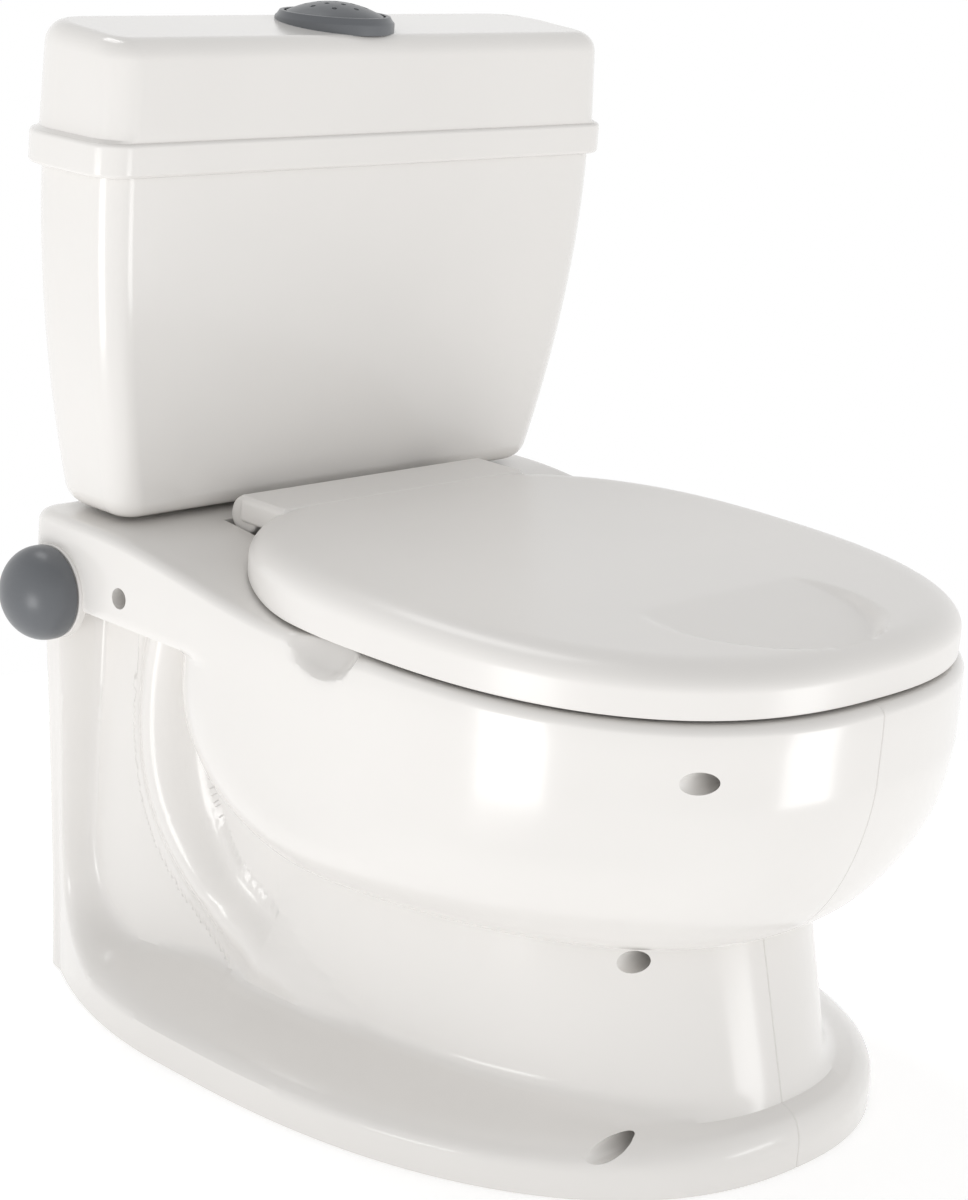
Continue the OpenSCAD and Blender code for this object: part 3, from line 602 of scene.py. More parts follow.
def base_right():
    """Right half, with a cross rib, the roll holder's sleeve and the screws' counterbores."""
    shell = half_shell(-1)
    near, far = CROSS_RIB_X
    join(shell, block("rib", (-far, -CROSS_RIB, 0), (-near - GAP, CROSS_RIB, CROSS_RIB_Z)))
    join(
        shell,
        roll_rod("sleeve", PAD_X, -SHELL_WALL, SLEEVE_R + SLEEVE_WALL),
        roll_rod("pad", PAD_X, PAD_X + PAD_T, KNOB_R, 0.6, 96),
    )
    for y, z, depth in SHELL_SCREWS:
        cut(
            shell,
            rod("counterbore", (-DECK_HALF - PAST, y, z), (-depth, y, z), HEAD_R),
            rod("way", (-depth - 1, y, z), (1, y, z), SCREW_WAY_R, segments=32),
        )
    cut(
        shell,
        roll_rod("bore", PAD_X + PAD_T, 1, SLEEVE_R),
        roll_rod("mouth", PAD_X - 1, PAD_X + PAD_T + 1, SPINDLE_R + SPINDLE_PLAY),
    )
    return shell


# ---------- tank ----------
BAND_Z = (339, 352)
TANK_TOP_HALF = float(TANK_HIGH[0])
TANK_TAPER = 20
TANK_FRONT = float(TANK_LOW[1])
TANK_BACK = float(TANK_HIGH[1])
TANK_BOTTOM_Z = 201.5
TANK_TOP_Z = float(TANK_HIGH[2])
TANK_R, TANK_REAR_R = 12, 24
TANK_WALL = 3
TAPER_CURVE = 1.9
FACE_LEAN = 7
TANK_EDGE = 8
TANK_POST_R, TANK_POST_TOP_Z, TANK_THREAD_TOP_Z = 6, 221, 216
TANK_FOOT_R, TANK_FOOT_T = 8, 5
TANK_PAD_HALF, TANK_PAD_Y, TANK_PAD_T = 60, (137, 155), 4


def tank_ring(z, inset):
    """Ring of the tank's wall at height z, tapered downwards and rounded at the bottom edge."""
    depth = float(clamp01((BAND_Z[0] - z) / (BAND_Z[0] - TANK_BOTTOM_Z))) ** TAPER_CURVE
    low = float(clamp01((TANK_BOTTOM_Z + TANK_EDGE - z) / TANK_EDGE))
    trim = inset + TANK_EDGE * (1 - math.sqrt(1 - low * low))
    return box_ring(
        TANK_TOP_HALF - TANK_TAPER * depth - trim,
        TANK_FRONT + FACE_LEAN * depth + trim,
        TANK_BACK - trim,
        TANK_R - min(trim, 10),
        TANK_REAR_R - min(trim, 10),
        z,
    )


def tank_body():
    """Open tank with its feet and the threaded posts of its screws."""
    low = TANK_BOTTOM_Z
    outer = [low + TANK_EDGE * (1 - math.cos(a)) for a in np.radians(np.arange(0, 90, 10))]
    outer += levels(low + TANK_EDGE, 240, TANK_TOP_Z, step=5)
    body = loft("tank", [tank_ring(z, 0) for z in outer])
    inner = [tank_ring(z, TANK_WALL) for z in levels(205, 240, TANK_TOP_Z, step=5)]
    inner.append(inner[-1] + np.array([0, 0, 6.0]))
    cut(body, loft("inside", inner))
    x, y = TANK_SCREW
    for s in (1, -1):
        join(
            body,
            upright("post", s * x, y, 203, TANK_POST_TOP_Z, TANK_POST_R, segments=48),
            upright("foot", s * x, y, DECK_Z, DECK_Z + TANK_FOOT_T, TANK_FOOT_R, segments=48),
        )
    low, high = (-TANK_PAD_HALF, TANK_PAD_Y[0]), (TANK_PAD_HALF, TANK_PAD_Y[1])
    join(body, block("pad", (*low, DECK_Z), (*high, DECK_Z + TANK_PAD_T)))
    for s in (1, -1):
        cut(body, upright("thread", s * x, y, 198, TANK_THREAD_TOP_Z, THREAD_R, segments=32))
    return body


BEZEL_RISE = 3.5
COVER_Z = float(BEZEL_HIGH[2]) - BEZEL_RISE
COVER_LOW_Z = 353
COVER_HALF = (137, 135.5)
COVER_FRONT = (111.5, 112.5)
COVER_BACK = 172
COVER_R = 9
COVER_CORNER_R, COVER_REAR_R = 13, 25
COVER_CROWN = 3.2
CROWN_BACK, CROWN_RUN = 160, 45
BAND_HALF = float(COVER_HIGH[0])
BAND_FRONT = float(COVER_LOW[1])
BAND_BACK = float(COVER_HIGH[1])
BAND_EDGE = 1.6
BUTTON_Y = float(BEZEL_LOW[1] + BEZEL_HIGH[1]) / 2
BUTTON_R = float(BUTTON_HIGH[0])
BEZEL_R = float(BEZEL_HIGH[0])
BUTTON_HOLE_R = BUTTON_R + 2.2
BOX_TOP_Z = 376
BOX_SCREWS = ((52, 128), (52, 152))
BOX_POST_R, BOX_THREAD_R, BOX_THREAD_DEPTH = 4, 1.3, 11
SOCKET_Z = (338, 350)


def crowned(ring):
    """The cover's top falls a little towards the front."""
    high = clamp01((ring[:, 2] - COVER_LOW_Z) / (COVER_Z - COVER_LOW_Z)) ** 2
    ring[:, 2] -= COVER_CROWN * high * clamp01((CROWN_BACK - ring[:, 1]) / CROWN_RUN)
    return ring


def cover_ring(z, trim):
    """Ring of the cover above its band, trimmed all round."""
    t = float(clamp01((z - COVER_LOW_Z) / (COVER_Z - COVER_LOW_Z)))
    less = min(trim, COVER_R) * 0.9
    return box_ring(
        mix(*COVER_HALF, t) - trim,
        mix(*COVER_FRONT, t) + trim,
        COVER_BACK - trim,
        COVER_CORNER_R - less,
        COVER_REAR_R - less,
        z,
    )


def band_ring(z, trim):
    """Ring of the raised band round the cover's lower edge."""
    return box_ring(
        BAND_HALF - trim,
        BAND_FRONT + trim,
        BAND_BACK - trim,
        COVER_CORNER_R - trim,
        COVER_REAR_R - trim,
        z,
    )


def tank_cover():
    """Lift-off cover with its socket, the sound box's room and posts, and the button's hole."""
    arc = np.radians(np.arange(0, 91, 15))
    e = BAND_EDGE
    rings = [band_ring(BAND_Z[0] + e * (1 - math.cos(a)), e * (1 - math.sin(a))) for a in arc]
    rings += [band_ring(BAND_Z[1] - e * (1 - math.sin(a)), e * (1 - math.cos(a))) for a in arc]
    rings += [cover_ring(z, 0) for z in levels(COVER_LOW_Z + 0.2, COVER_Z - COVER_R, step=4)]
    for a in np.radians(np.arange(9, 91, 9)):
        ring = cover_ring(COVER_Z - COVER_R * (1 - math.sin(a)), COVER_R * (1 - math.cos(a)) * 0.9)
        rings.append(ring)
    cover = loft("cover", [crowned(ring) for ring in rings])
    socket = [
        box_ring(TANK_TOP_HALF + GAP, TANK_FRONT - GAP, TANK_BACK + GAP, TANK_R, TANK_REAR_R, z)
        for z in SOCKET_Z
    ]
    room = [
        cover_ring(COVER_LOW_Z, 5) - np.array([0, 0, 4.0]),
        cover_ring(366, TANK_WALL + 1),
        cover_ring(COVER_Z - 12, TANK_WALL + 1),
        cover_ring(COVER_Z - 8, TANK_WALL + 5),
    ]
    cut(cover, loft("socket", socket), loft("room", room))
    for x, y in BOX_SCREWS:
        for s in (1, -1):
            post = upright("post", s * x, y, BOX_TOP_Z, COVER_Z - 7, BOX_POST_R, segments=40)
            low, high = BOX_TOP_Z - 1, BOX_TOP_Z + BOX_THREAD_DEPTH
            join(cover, post)
            cut(cover, upright("thread", s * x, y, low, high, BOX_THREAD_R, segments=24))
    low, high = COVER_Z - PAST, COVER_Z + 10
    cut(cover, upright("hole", 0, BUTTON_Y, low, high, BUTTON_HOLE_R, segments=96))
    return cover


# ---------- flush button ----------
BEZEL_TOP = COVER_Z + BEZEL_RISE
CAP_BASE = BEZEL_TOP - 0.5
DOME_TOP = float(BUTTON_HIGH[2])
SKIRT_Z = COVER_Z - 6
BUTTON_WALL = 2
STEM_R = 4
DIMPLE_R = 1.1


def bezel():
    """Ring round the button: a closed profile turned about the button's axis."""
    inner, hole = BUTTON_R + 0.8, BUTTON_HOLE_R - 0.05
    lip = COVER_Z - COVER_CROWN
    profile = [
        (inner, COVER_Z - 8),
        (hole, COVER_Z - 8),
        (hole, lip),
        (BEZEL_R, lip),
        (BEZEL_R, COVER_Z + 0.6),
        (BEZEL_R - 0.25, COVER_Z + 1.2),
        (BEZEL_R - 0.8, COVER_Z + 1.6),
        (BUTTON_R + 2.6, BEZEL_TOP - 0.15),
        (BUTTON_R + 2.1, BEZEL_TOP),
        (inner + 0.5, BEZEL_TOP),
        (inner + 0.12, BEZEL_TOP - 0.12),
        (inner, BEZEL_TOP - 0.5),
    ]
    m = 144
    points = []
    for r, z in profile:
        for i in range(m):
            a = 2 * math.pi * i / m
            points.append((r * math.cos(a), BUTTON_Y + r * math.sin(a), z))
    k = len(profile)
    faces = []
    for i in range(k):
        for j in range(m):
            a, b = i * m + j, i * m + (j + 1) % m
            c, d = ((i + 1) % k) * m + (j + 1) % m, ((i + 1) % k) * m + j
            faces.append([a, b, c, d])
    return new_object("bezel", points, faces)


def flush_button():
    """Domed button, hollow below, with dimples on its top and a stem."""
    height = DOME_TOP - CAP_BASE
    sphere = (BUTTON_R**2 + height**2) / (2 * height)

    def dome_z(r):
        return DOME_TOP - sphere + math.sqrt(sphere**2 - r * r)

    profile = [(BUTTON_R, SKIRT_Z), (BUTTON_R, CAP_BASE - 0.6), (BUTTON_R - 0.2, CAP_BASE + 0.1)]
    profile += [(r, dome_z(r)) for r in np.linspace(BUTTON_R - 0.6, 0.3, 28)]
    button = lathe("button", profile, (0, BUTTON_Y, 0), (0, 0, 1), 144)
    hollow = upright("hollow", 0, BUTTON_Y, SKIRT_Z - 1, CAP_BASE - 1, BUTTON_R - BUTTON_WALL)
    cut(hollow, upright("core", 0, BUTTON_Y, SKIRT_Z - 2, CAP_BASE, STEM_R, segments=40))
    cut(button, hollow)
    arc = np.radians(np.arange(-80, 81, 20))
    ball = [(DIMPLE_R * math.cos(b), DIMPLE_R * math.sin(b)) for b in arc]
    for radius, count, turn in ((0, 1, 0), (BUTTON_R * 0.34, 6, 15), (BUTTON_R * 0.62, 8, 0)):
        for i in range(count):
            a = math.radians(360 * i / count + turn)
            spot = (radius * math.cos(a), BUTTON_Y + radius * math.sin(a), dome_z(radius))
            cut(button, lathe("dimple", ball, spot, (0, 0, 1), 20))
    return join(button, upright("stem", 0, BUTTON_Y, BUTTON_LOW[2], SKIRT_Z + 1, STEM_R, 0.5, 48))


# ---------- lid ----------
LID_BOTTOM = RIM_Z + 1.5
LID_WALL = 3
LID_OUTLINE = (float(LID_HIGH[0]), 141, 122, BOWL_YC, 2.5)
LID_OVER_DECK = 1.5
LID_DROP = 4
LID_ROUND, LID_ROUND_SIDE = 11, 15
THUMB_BACK = -85
THUMB_R = 50
THUMB_SHIFT = 17
THUMB_TILT = 4.5
THUMB_FALL = 5.5
THUMB_WALL = 2
BAR_R = LID_Z - HINGE_Z
BAR_WALL = 2
PLATE_LENGTH = 24
# Where the hinge's parts lie along its axis, from the middle outwards.
RIB_X = (30, 38)
POST_X = (40, 48)
KNUCKLE_X = (50, 58)
END_X = (60, 68)
CHEEK_X = 69.5
CHEEK_LENGTH = 25


def lid_top_at(y):
    """Height of the lid's top, which falls towards the front."""
    return LID_Z - LID_DROP * (HINGE_Y - y) / (HINGE_Y - FRONT_Y)


def thumb_depth(x, y):
    """Depth of the D-shaped thumb scoop: a straight rear edge and a round front wall."""
    floor = soft_max((THUMB_BACK - y) * math.tan(math.radians(THUMB_FALL)), 0 * y, 0.4) - 0.1
    reach = THUMB_R - np.hypot(x, y - THUMB_BACK + THUMB_SHIFT)
    return np.maximum(floor, 0) * ease(-1.0, 4.5, reach)


def egg_dome(name, outline, side, top, rings=64, m=288):
    """Closed egg-shaped solid: side gives (inset, height) rings, top a height over x and y."""
    a, f, r, yc, n = outline
    stack = []
    for inset, z in side:
        ring = egg(a - inset, f - inset, r - inset, yc, n, z, m)
        share = clamp01((ring[:, 2] - LID_BOTTOM) / (LID_Z - LID_BOTTOM))
        ring[:, 2] -= (LID_Z - lid_top_at(ring[:, 1])) * share
        ring[:, 2] -= thumb_depth(ring[:, 0], ring[:, 1]) * (inset > 0)
        stack.append(ring)
    inset = side[-1][0]
    for s in np.linspace(1, 0.02, rings)[1:]:
        ring = egg((a - inset) * s, (f - inset) * s, (r - inset) * s, yc, n, 0, m)
        ring[:, 2] = top(ring[:, 0], ring[:, 1])
        stack.append(ring)
    return loft(name, stack)


def below_deck(clearance):
    """Everything lower than the sloping deck, kept clear by the seat and the lid."""
    outline = [(-200, 150), (-200, RIM_Z + clearance)]
    outline += [(y, float(top_at(y)) + clearance) for y in range(10, 119, 6)]
    outline += [(130, DECK_Z + clearance), (130, 150)]
    return loft("below", [[(x, y, z) for y, z in outline] for x in (-150, 150)])


def lid_top(x, y):
    """Outer face of the lid, with the thumb scoop."""
    return lid_top_at(y) - thumb_depth(x, y)


def lid_under(x, y):
    """Inner face of the lid, thinner over the thumb scoop."""
    return lid_top(x, y) - np.where(thumb_depth(x, y) > 0, THUMB_WALL, LID_WALL)


def lid_shell():
    """Hollow egg-shaped lid without its hinge bar."""
    arc = np.radians(np.arange(0, 91, 9))
    side = [(1.0, LID_BOTTOM), (0.3, LID_BOTTOM + 0.3), (0.0, LID_BOTTOM + 1.0)]
    for a in arc:
        side.append((LID_ROUND_SIDE * (1 - math.cos(a)), LID_Z - LID_ROUND * (1 - math.sin(a))))
    shell = egg_dome("lid", LID_OUTLINE, side, lid_top)
    inner = [
        (LID_WALL, LID_BOTTOM - 3),
        (LID_WALL, LID_Z - 9),
        (LID_WALL + 3, LID_Z - 4.5),
        (LID_WALL + 7, LID_Z - LID_WALL),
    ]
    room = egg_dome("room", LID_OUTLINE, inner, lid_under, 40)
    return cut(shell, room, below_deck(LID_OVER_DECK))


def lid_bar():
    """Hinge bar and the plate that joins it to the lid, with gaps for the knuckles and posts."""
    under = LID_Z - LID_WALL
    reach = END_X[0] - GAP
    bar = hinge_rod("bar", -END_X[1], END_X[1], BAR_R, 1.5, 96)
    low = (-END_X[1], HINGE_Y - PLATE_LENGTH, under)
    join(bar, block("plate", low, (END_X[1], HINGE_Y + 3, LID_Z - 0.05), 1.2))
    for s in (1, -1):
        inner, outer = sorted((s * (END_X[0] + 0.3), s * CHEEK_X))
        low = (inner, HINGE_Y - CHEEK_LENGTH, DECK_Z + 0.5)
        join(bar, block("cheek", low, (outer, HINGE_Y + 2, LID_Z - 0.4), 2.5))
    hollow = hinge_rod("hollow", -reach, reach, BAR_R - BAR_WALL, segments=96)
    for s in (1, -1):
        cut(hollow, hinge_rod("rib", s * RIB_X[0], s * RIB_X[1], BAR_R))
    cut(bar, hollow)
    back_y, low_z = HINGE_Y + 30, HINGE_Z - 20
    gaps = (
        (reach, HINGE_Y, under),
        (reach, back_y, HINGE_Z),
        (POST_X[1] + 1 + GAP, back_y, under),
    )
    for s in (1, -1):
        for far, y1, z1 in gaps:
            x0, x1 = sorted((s * (RIB_X[1] + GAP), s * far))
            cut(bar, block("gap", (x0, HINGE_Y - 30, low_z), (x1, y1, z1)))
    low, high = (-RIB_X[0], HINGE_Y - 30, low_z), (RIB_X[0], back_y, HINGE_Z)
    return cut(bar, block("middle", low, high))


def lid():
    """Lid with its hinge bar, open below the bar, and the bores of the pins."""
    shell = lid_shell()
    reach = END_X[0] - GAP
    cut(shell, block("bay", (-reach, 60, 150), (reach, HINGE_Y, LID_Z - LID_WALL)))
    join(shell, lid_bar())
    for s in (1, -1):
        cut(shell, pin_bore(s * (RIB_X[0] - 1), s * (END_X[1] - 2)))
    return shell


# ---------- seat ring ----------
RING_OUTLINE = (float(RING_HIGH[0]), 129, 107, BOWL_YC, BOWL_N)
RING_BOTTOM = float(RING_LOW[2])
RING_TOP = 202.5
RING_HOLE = (72, 84, 76, -27, 2.2)
RING_ROUND, RING_ROUND_SIDE = 5, 6
HOLE_ROUND, HOLE_ROUND_SIDE = 7, 9
ARM_Y = 66
KNUCKLE_R = 5
BUMPER_R = 2.5
BUMPER_SPOTS = ((103, -30), (70, -118), (96, 4))


def thumb_tool(r, lower):
    """Tilted cylinder that keeps the seat ring clear of the lid's thumb scoop."""
    tool = upright("thumb", 0, -THUMB_SHIFT, -lower, 30 - lower, r, segments=160)
    turn = Matrix.Rotation(math.radians(THUMB_TILT), 4, "X")
    move = Matrix.Translation(Vector((0, THUMB_BACK * MM, lid_top_at(THUMB_BACK) * MM)))
    tool.data.transform(move @ turn)
    return tool


def seat_ring():
    """Seat ring with its hinge knuckles and the recesses of its bumpers."""
    a, f, r, yc, n = RING_OUTLINE
    arc = np.radians(np.arange(0, 91, 10))
    side = [(1.0, RING_BOTTOM), (0.3, RING_BOTTOM + 0.3), (0.0, RING_BOTTOM + 1.0)]
    for t in arc:
        inset = RING_ROUND_SIDE * (1 - math.cos(t))
        side.append((inset, RING_TOP - RING_ROUND * (1 - math.sin(t))))
    ring = loft("ring", [egg(a - t, f - t, r - t, yc, n, z) for t, z in side])
    cut(ring, below_deck(LID_OVER_DECK), thumb_tool(THUMB_R + 4, 3.2))
    ha, hf, hr, hy, hn = RING_HOLE
    round_z = RING_TOP - HOLE_ROUND
    rise = [(0.8, RING_BOTTOM - 2), (0, RING_BOTTOM + 1.5), (0, round_z)]
    for t in arc[1:]:
        rise.append((HOLE_ROUND_SIDE * (1 - math.cos(t)), round_z + HOLE_ROUND * math.sin(t)))
    rise.append((HOLE_ROUND_SIDE + 1, RING_TOP + 1))
    cut(ring, loft("hole", [egg(ha + t, hf + t, hr + t, hy, hn, z) for t, z in rise]))
    arm = [
        (ARM_Y, 197),
        (HINGE_Y, HINGE_Z - KNUCKLE_R),
        (HINGE_Y, HINGE_Z + 3),
        (ARM_Y, RING_TOP - 0.02),
    ]
    for s in (1, -1):
        x0, x1 = s * KNUCKLE_X[0], s * KNUCKLE_X[1]
        join(
            ring,
            hinge_rod("knuckle", x0, x1, KNUCKLE_R, 0.4),
            loft("arm", [[(x, y, z) for y, z in arm] for x in (x0, x1)]),
        )
        cut(ring, pin_bore(x0 - s, x1 + s))
        low, high = RING_BOTTOM - 3, RING_BOTTOM + 4
        for x, y in BUMPER_SPOTS:
            cut(ring, upright("recess", s * x, y, low, high, BUMPER_R, segments=32))
    return ring


# ---------- pot ----------
# Levels of the pot's wall: height, half width, and reach to the front and to the back.
POT_PROFILE = (
    (92, 56, 60, 62),
    (96, 66, 72, 72),
    (108, 76, 86, 79),
    (135, 86, 99, 86),
    (160, 92, 106, 90),
    (184, 100, 120, 92),
)
POT_WALL = 3
TAB_HALF = 54
POST_HALF, POST_R = 3.8, 4.2


def pot_rings(inset, lift, z_end):
    """Rings of the pot's wall, straight between the profile's levels."""
    table = np.array(POT_PROFILE, float)
    rings = []
    for z in levels(table[0, 0], table[1, 0], table[2, 0], table[-1, 0], step=3):
        a, f, r = (np.interp(z, table[:, 0], table[:, i]) - inset for i in (1, 2, 3))
        rings.append(egg(a, f, r, BOWL_YC, BOWL_N, z + lift))
    if z_end:
        rings.append(egg(*table[-1, 1:], BOWL_YC, BOWL_N, z_end))
    return rings


def pot():
    """Lift-out pot with its flange and the hinge posts."""
    a, f, r, yc, n = FLANGE
    base = RIM_Z - FLANGE_T
    edge = [(0.5, base), (0, base + 0.5), (0, RIM_Z - 1), (0.3, RIM_Z - 0.3), (1, RIM_Z)]
    body = loft("pot", [egg(a - t, f - t, r - t, yc, n, z) for t, z in edge])
    join(body, loft("wall", pot_rings(0, 0, None)))
    join(body, block("tab", (-TAB_HALF, 60, base), (TAB_HALF, POCKET_BACK - 1, RIM_Z - 0.02)))
    for s in (1, -1):
        x0, x1 = sorted((s * POST_X[0], s * POST_X[1]))
        join(
            body,
            hinge_rod("eye", x0, x1, POST_R, 0.4),
            block("post", (x0, HINGE_Y - POST_HALF, RIM_Z - 1), (x1, HINGE_Y + POST_HALF, HINGE_Z)),
        )
        cut(body, pin_bore(x0 - 1, x1 + 1))
    cut(body, loft("inside", pot_rings(POT_WALL, POT_WALL, RIM_Z + 5)))
    return body


# ---------- roll holder ----------
KNOB_RIM = 3.0
KNOB_BORE = 8


def roll_knob():
    """Grey knob: a short rim with a domed end."""
    face = float(KNOB_HIGH[0])
    depth = face - float(KNOB_LOW[0])
    arc = np.radians(np.arange(0, 90, 5))
    profile = [(KNOB_R - 0.6, 0), (KNOB_R - 0.15, 0.25), (KNOB_R, 0.8), (KNOB_R, KNOB_RIM)]
    dome = depth - KNOB_RIM
    profile += [(KNOB_R * math.cos(t), KNOB_RIM + dome * math.sin(t)) for t in arc[1:]]
    profile.append((0.4, depth))
    knob = lathe("knob", profile, (face, ROLL_Y, ROLL_Z), (-1, 0, 0), 144)
    return cut(knob, roll_rod("bore", face + 1, face - KNOB_BORE, SPINDLE_R))


# ---------- materials ----------
DRIFT_SCALE = 9.0
RIPPLE_DEPTH = 0.0006
PLASTIC_IOR = 1.49
COAT_ROUGHNESS = 0.12


def plastic(name, color, rough, spread=0.02, grain=0.02, size=90.0, coat=0.0, spec=0.5):
    """Moulded plastic: slight drifts of tone and gloss, and a faint surface ripple.

    spread is the share by which the tone drifts, and grain and size are the strength and
    the scale of the ripple.
    """
    material = bpy.data.materials.new(name)
    material.use_nodes = True
    nodes, links = material.node_tree.nodes, material.node_tree.links
    shader = nodes["Principled BSDF"]
    place_in = nodes.new("ShaderNodeTexCoord")
    drift = nodes.new("ShaderNodeTexNoise")
    drift.inputs["Scale"].default_value = DRIFT_SCALE
    drift.inputs["Detail"].default_value = 3.0
    ramp = nodes.new("ShaderNodeValToRGB")
    low = [c * (1 - spread) for c in color]
    high = [min(1, c * (1 + spread)) for c in color]
    ramp.color_ramp.elements[0].position = 0.35
    ramp.color_ramp.elements[1].position = 0.65
    ramp.color_ramp.elements[0].color = (*low, 1)
    ramp.color_ramp.elements[1].color = (*high, 1)
    fine = nodes.new("ShaderNodeTexNoise")
    fine.inputs["Scale"].default_value = size
    fine.inputs["Detail"].default_value = 4.0
    gloss = nodes.new("ShaderNodeMapRange")
    gloss.inputs["To Min"].default_value = rough * 0.85
    gloss.inputs["To Max"].default_value = rough * 1.15
    bump = nodes.new("ShaderNodeBump")
    bump.inputs["Strength"].default_value = grain
    bump.inputs["Distance"].default_value = RIPPLE_DEPTH
    links.new(place_in.outputs["Object"], drift.inputs["Vector"])
    links.new(place_in.outputs["Object"], fine.inputs["Vector"])
    links.new(drift.outputs["Fac"], ramp.inputs["Fac"])
    links.new(ramp.outputs["Color"], shader.inputs["Base Color"])
    links.new(drift.outputs["Fac"], gloss.inputs["Value"])
    links.new(gloss.outputs["Result"], shader.inputs["Roughness"])
    links.new(fine.outputs["Fac"], bump.inputs["Height"])
    links.new(bump.outputs["Normal"], shader.inputs["Normal"])
    shader.inputs["IOR"].default_value = PLASTIC_IOR
    shader.inputs["Specular IOR Level"].default_value = spec
    shader.inputs["Coat Weight"].default_value = coat
    shader.inputs["Coat Roughness"].default_value = COAT_ROUGHNESS
    return material


def metal(name, color, rough):
    """Steel with a fine grain."""
    material = plastic(name, color, rough, 0.08, 0.08, 400.0)
    material.node_tree.nodes["Principled BSDF"].inputs["Metallic"].default_value = 1.0
    return material


WHITE = (0.805, 0.785, 0.76)
looks = {
    "shell_white": plastic("shell_white", WHITE, 0.2, 0.012, 0.05, 60, 0.35),
    "seat_white": plastic("seat_white", WHITE, 0.3, 0.012, 0.06, 80, 0.1),
    "pot_white": plastic("pot_white", (0.84, 0.83, 0.81), 0.25, 0.01, 0.04, 70, 0.2),
    "grey_plastic": plastic("grey_plastic", (0.125, 0.132, 0.142), 0.32, 0.06, 0.1, 250),
    "pale_plastic": plastic("pale_plastic", (0.72, 0.72, 0.70), 0.38, 0.03, 0.1, 200),
    "rubber_pale": plastic("rubber_pale", (0.6, 0.6, 0.58), 0.7, 0.05, 0.3, 500),
    "board_green": plastic("board_green", (0.03, 0.2, 0.08), 0.35, 0.2, 0.15, 350),
    "black_plastic": plastic("black_plastic", (0.02, 0.02, 0.022), 0.4, 0.1, 0.15, 300),
    "battery_jacket": plastic("battery_jacket", (0.5, 0.32, 0.06), 0.3, 0.1, 0.05, 150),
    "screw_steel": metal("screw_steel", (0.55, 0.55, 0.56), 0.3),
    "spring_steel": metal("spring_steel", (0.6, 0.6, 0.62), 0.25),
}

# ---------- pieces ----------
place(base_right(), "base", "base_shell_right", looks["shell_white"])
place(base_left(), "base", "base_shell_left", looks["shell_white"])
place(tank_body(), "base", "tank_body", looks["shell_white"])
place(tank_cover(), "cover", "tank_cover", looks["shell_white"])
place(bezel(), "cover", "button_bezel", looks["grey_plastic"])
place(flush_button(), "button", "flush_button", looks["grey_plastic"])
place(lid(), "lid", "lid", looks["seat_white"])
place(seat_ring(), "seat", "seat_ring", looks["seat_white"])
place(pot(), "pot", "pot", looks["pot_white"])
place(roll_knob(), "roll_holder", "roll_knob", looks["grey_plastic"])

# The CAD nodes that are shown as they are, with their looks.
KEPT_NODES = {
    "base_screws": "screw_steel",
    "tank_screws": "screw_steel",
    "hinge_pins": "screw_steel",
    "seat_bumpers": "rubber_pale",
    "lid_bumpers": "rubber_pale",
    "button_spring": "spring_steel",
    "sound_box": "pale_plastic",
    "sound_box_screws": "screw_steel",
    "circuit_board": "board_green",
    "sound_switch": "black_plastic",
    "speaker": "black_plastic",
    "batteries": "battery_jacket",
    "battery_contacts": "spring_steel",
    "battery_cover": "pale_plastic",
    "battery_cover_screw": "screw_steel",
    "roll_spindle": "pale_plastic",
}
for node, look in KEPT_NODES.items():
    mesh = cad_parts[node].data
    mesh.materials.clear()
    mesh.materials.append(looks[look])

# ---------- floor ----------
FLOOR_R = 0.5
FLOOR_GLOW = 0.35
FLOOR_T = 1.0
FLOOR_DROP = 0.3
floor_profile = [(FLOOR_R / MM, -FLOOR_DROP - FLOOR_T), (FLOOR_R / MM, -FLOOR_DROP)]
floor = lathe("floor", floor_profile, (0, 0, 0), (0, 0, 1), 96)
paper = plastic("floor_paper", (0.93, 0.93, 0.93), 0.8, 0.004, 0.0, 20, 0, 0.2)
paper_shader = paper.node_tree.nodes["Principled BSDF"]
paper_shader.inputs["Emission Color"].default_value = (1, 1, 1, 1)
paper_shader.inputs["Emission Strength"].default_value = FLOOR_GLOW
floor.data.materials.append(paper)

# ---------- light ----------
SKY_SIDE, SKY_TOP = 1.0, 0.5
SKY_FADE = (0.15, 0.9)


def studio_world():
    """Even white light from the sides that fades a little overhead."""
    world = bpy.data.worlds.new("studio")
    world.use_nodes = True
    nodes, links = world.node_tree.nodes, world.node_tree.links
    direction = nodes.new("ShaderNodeTexCoord")
    split = nodes.new("ShaderNodeSeparateXYZ")
    fade = nodes.new("ShaderNodeMapRange")
    fade.inputs["From Min"].default_value, fade.inputs["From Max"].default_value = SKY_FADE
    fade.inputs["To Min"].default_value = SKY_SIDE
    fade.inputs["To Max"].default_value = SKY_TOP
    links.new(direction.outputs["Generated"], split.inputs["Vector"])
    links.new(split.outputs["Z"], fade.inputs["Value"])
    links.new(fade.outputs["Result"], nodes["Background"].inputs["Strength"])
    nodes["Background"].inputs["Color"].default_value = (1, 1, 1, 1)
    return world


scene.world = studio_world()


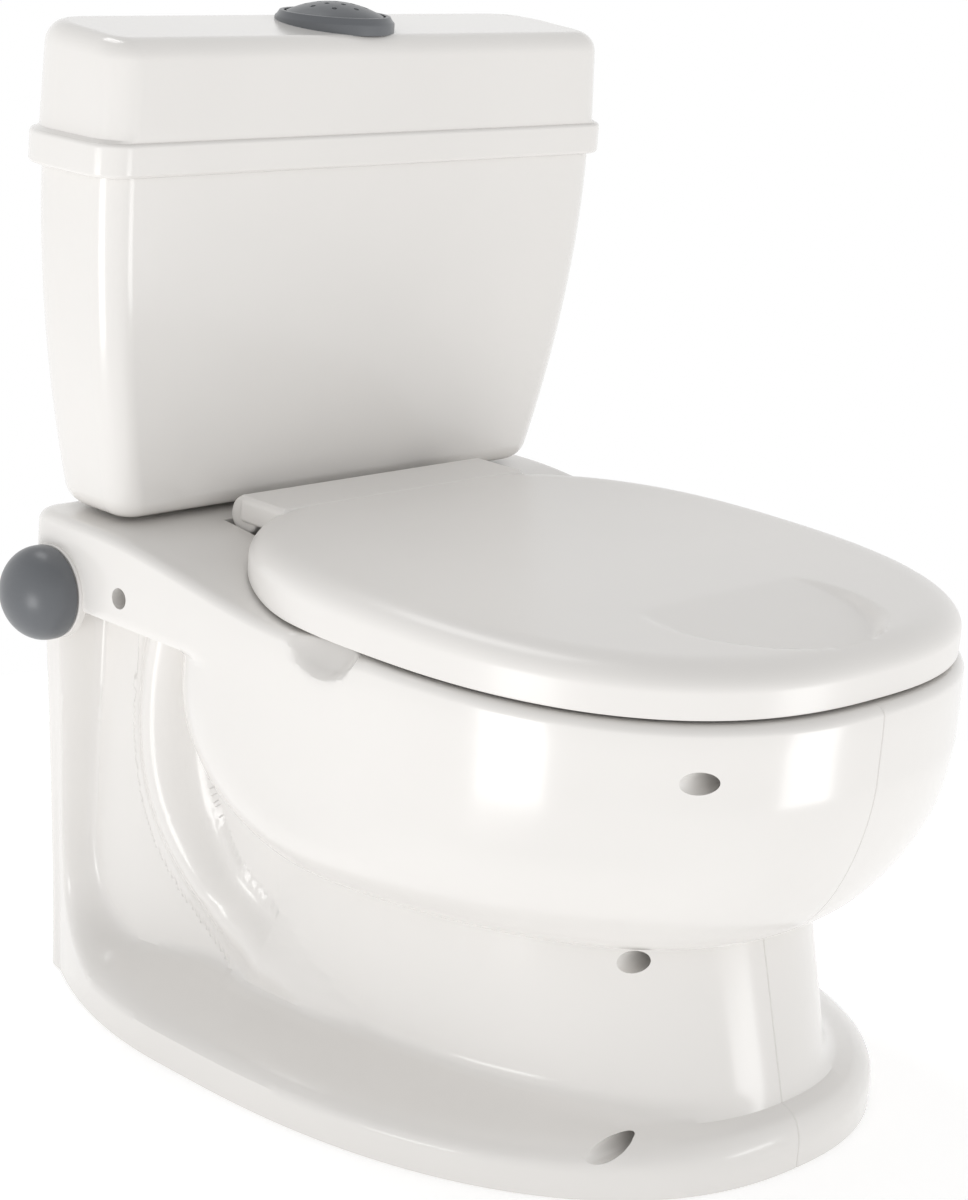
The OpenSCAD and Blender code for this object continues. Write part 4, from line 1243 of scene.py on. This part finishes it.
TARGET = Vector((0, 0, 0.2))


def softbox(name, azimuth, elevation, distance, width, height, power):
    """Rectangular light that faces the target, with its place in degrees and metres."""
    light = bpy.data.lights.new(name, "AREA")
    light.shape = "RECTANGLE"
    light.size, light.size_y = width, height
    light.energy = power
    obj = bpy.data.objects.new(name, light)
    scene.collection.objects.link(obj)
    a, e = math.radians(azimuth), math.radians(elevation)
    ray = Vector((math.sin(a) * math.cos(e), -math.cos(a) * math.cos(e), math.sin(e)))
    obj.location = TARGET + ray * distance
    obj.rotation_euler = ray.to_track_quat("Z", "Y").to_euler()


softbox("window_right", -87, -13, 1.75, 0.65, 0.65, 6.5)
softbox("window_left", 26, -14, 1.75, 0.6, 0.65, 4.4)
softbox("overhead", 177, 64, 1.8, 0.5, 0.9, 5.0)

# ---------- camera ----------
CAMERA_AZIMUTH = math.radians(-46.4)
CAMERA_ELEVATION = math.radians(15.35)
CAMERA_ROLL = math.radians(4.505)
CAMERA_PLACE = Vector((-0.8325, -0.7453, 0.4989))
CAMERA_LENS = 88.37
CAMERA_SHIFT = (0.0216, -0.0229)
away = Vector((
    math.sin(CAMERA_AZIMUTH) * math.cos(CAMERA_ELEVATION),
    -math.cos(CAMERA_AZIMUTH) * math.cos(CAMERA_ELEVATION),
    math.sin(CAMERA_ELEVATION),
))
level = (-away).cross(Vector((0, 0, 1))).normalized()
upright = away.cross(level)
across = level * math.cos(CAMERA_ROLL) + upright * math.sin(CAMERA_ROLL)
above = -level * math.sin(CAMERA_ROLL) + upright * math.cos(CAMERA_ROLL)
camera_data = bpy.data.cameras.new("camera")
camera_data.sensor_width = 36
camera_data.lens = CAMERA_LENS
camera_data.shift_x, camera_data.shift_y = CAMERA_SHIFT
camera_data.clip_end = 50
camera = bpy.data.objects.new("camera", camera_data)
scene.collection.objects.link(camera)
turn = Matrix((across, above, away)).transposed().to_4x4()
camera.matrix_world = Matrix.Translation(CAMERA_PLACE) @ turn
scene.camera = camera
scene.view_settings.view_transform = "Standard"
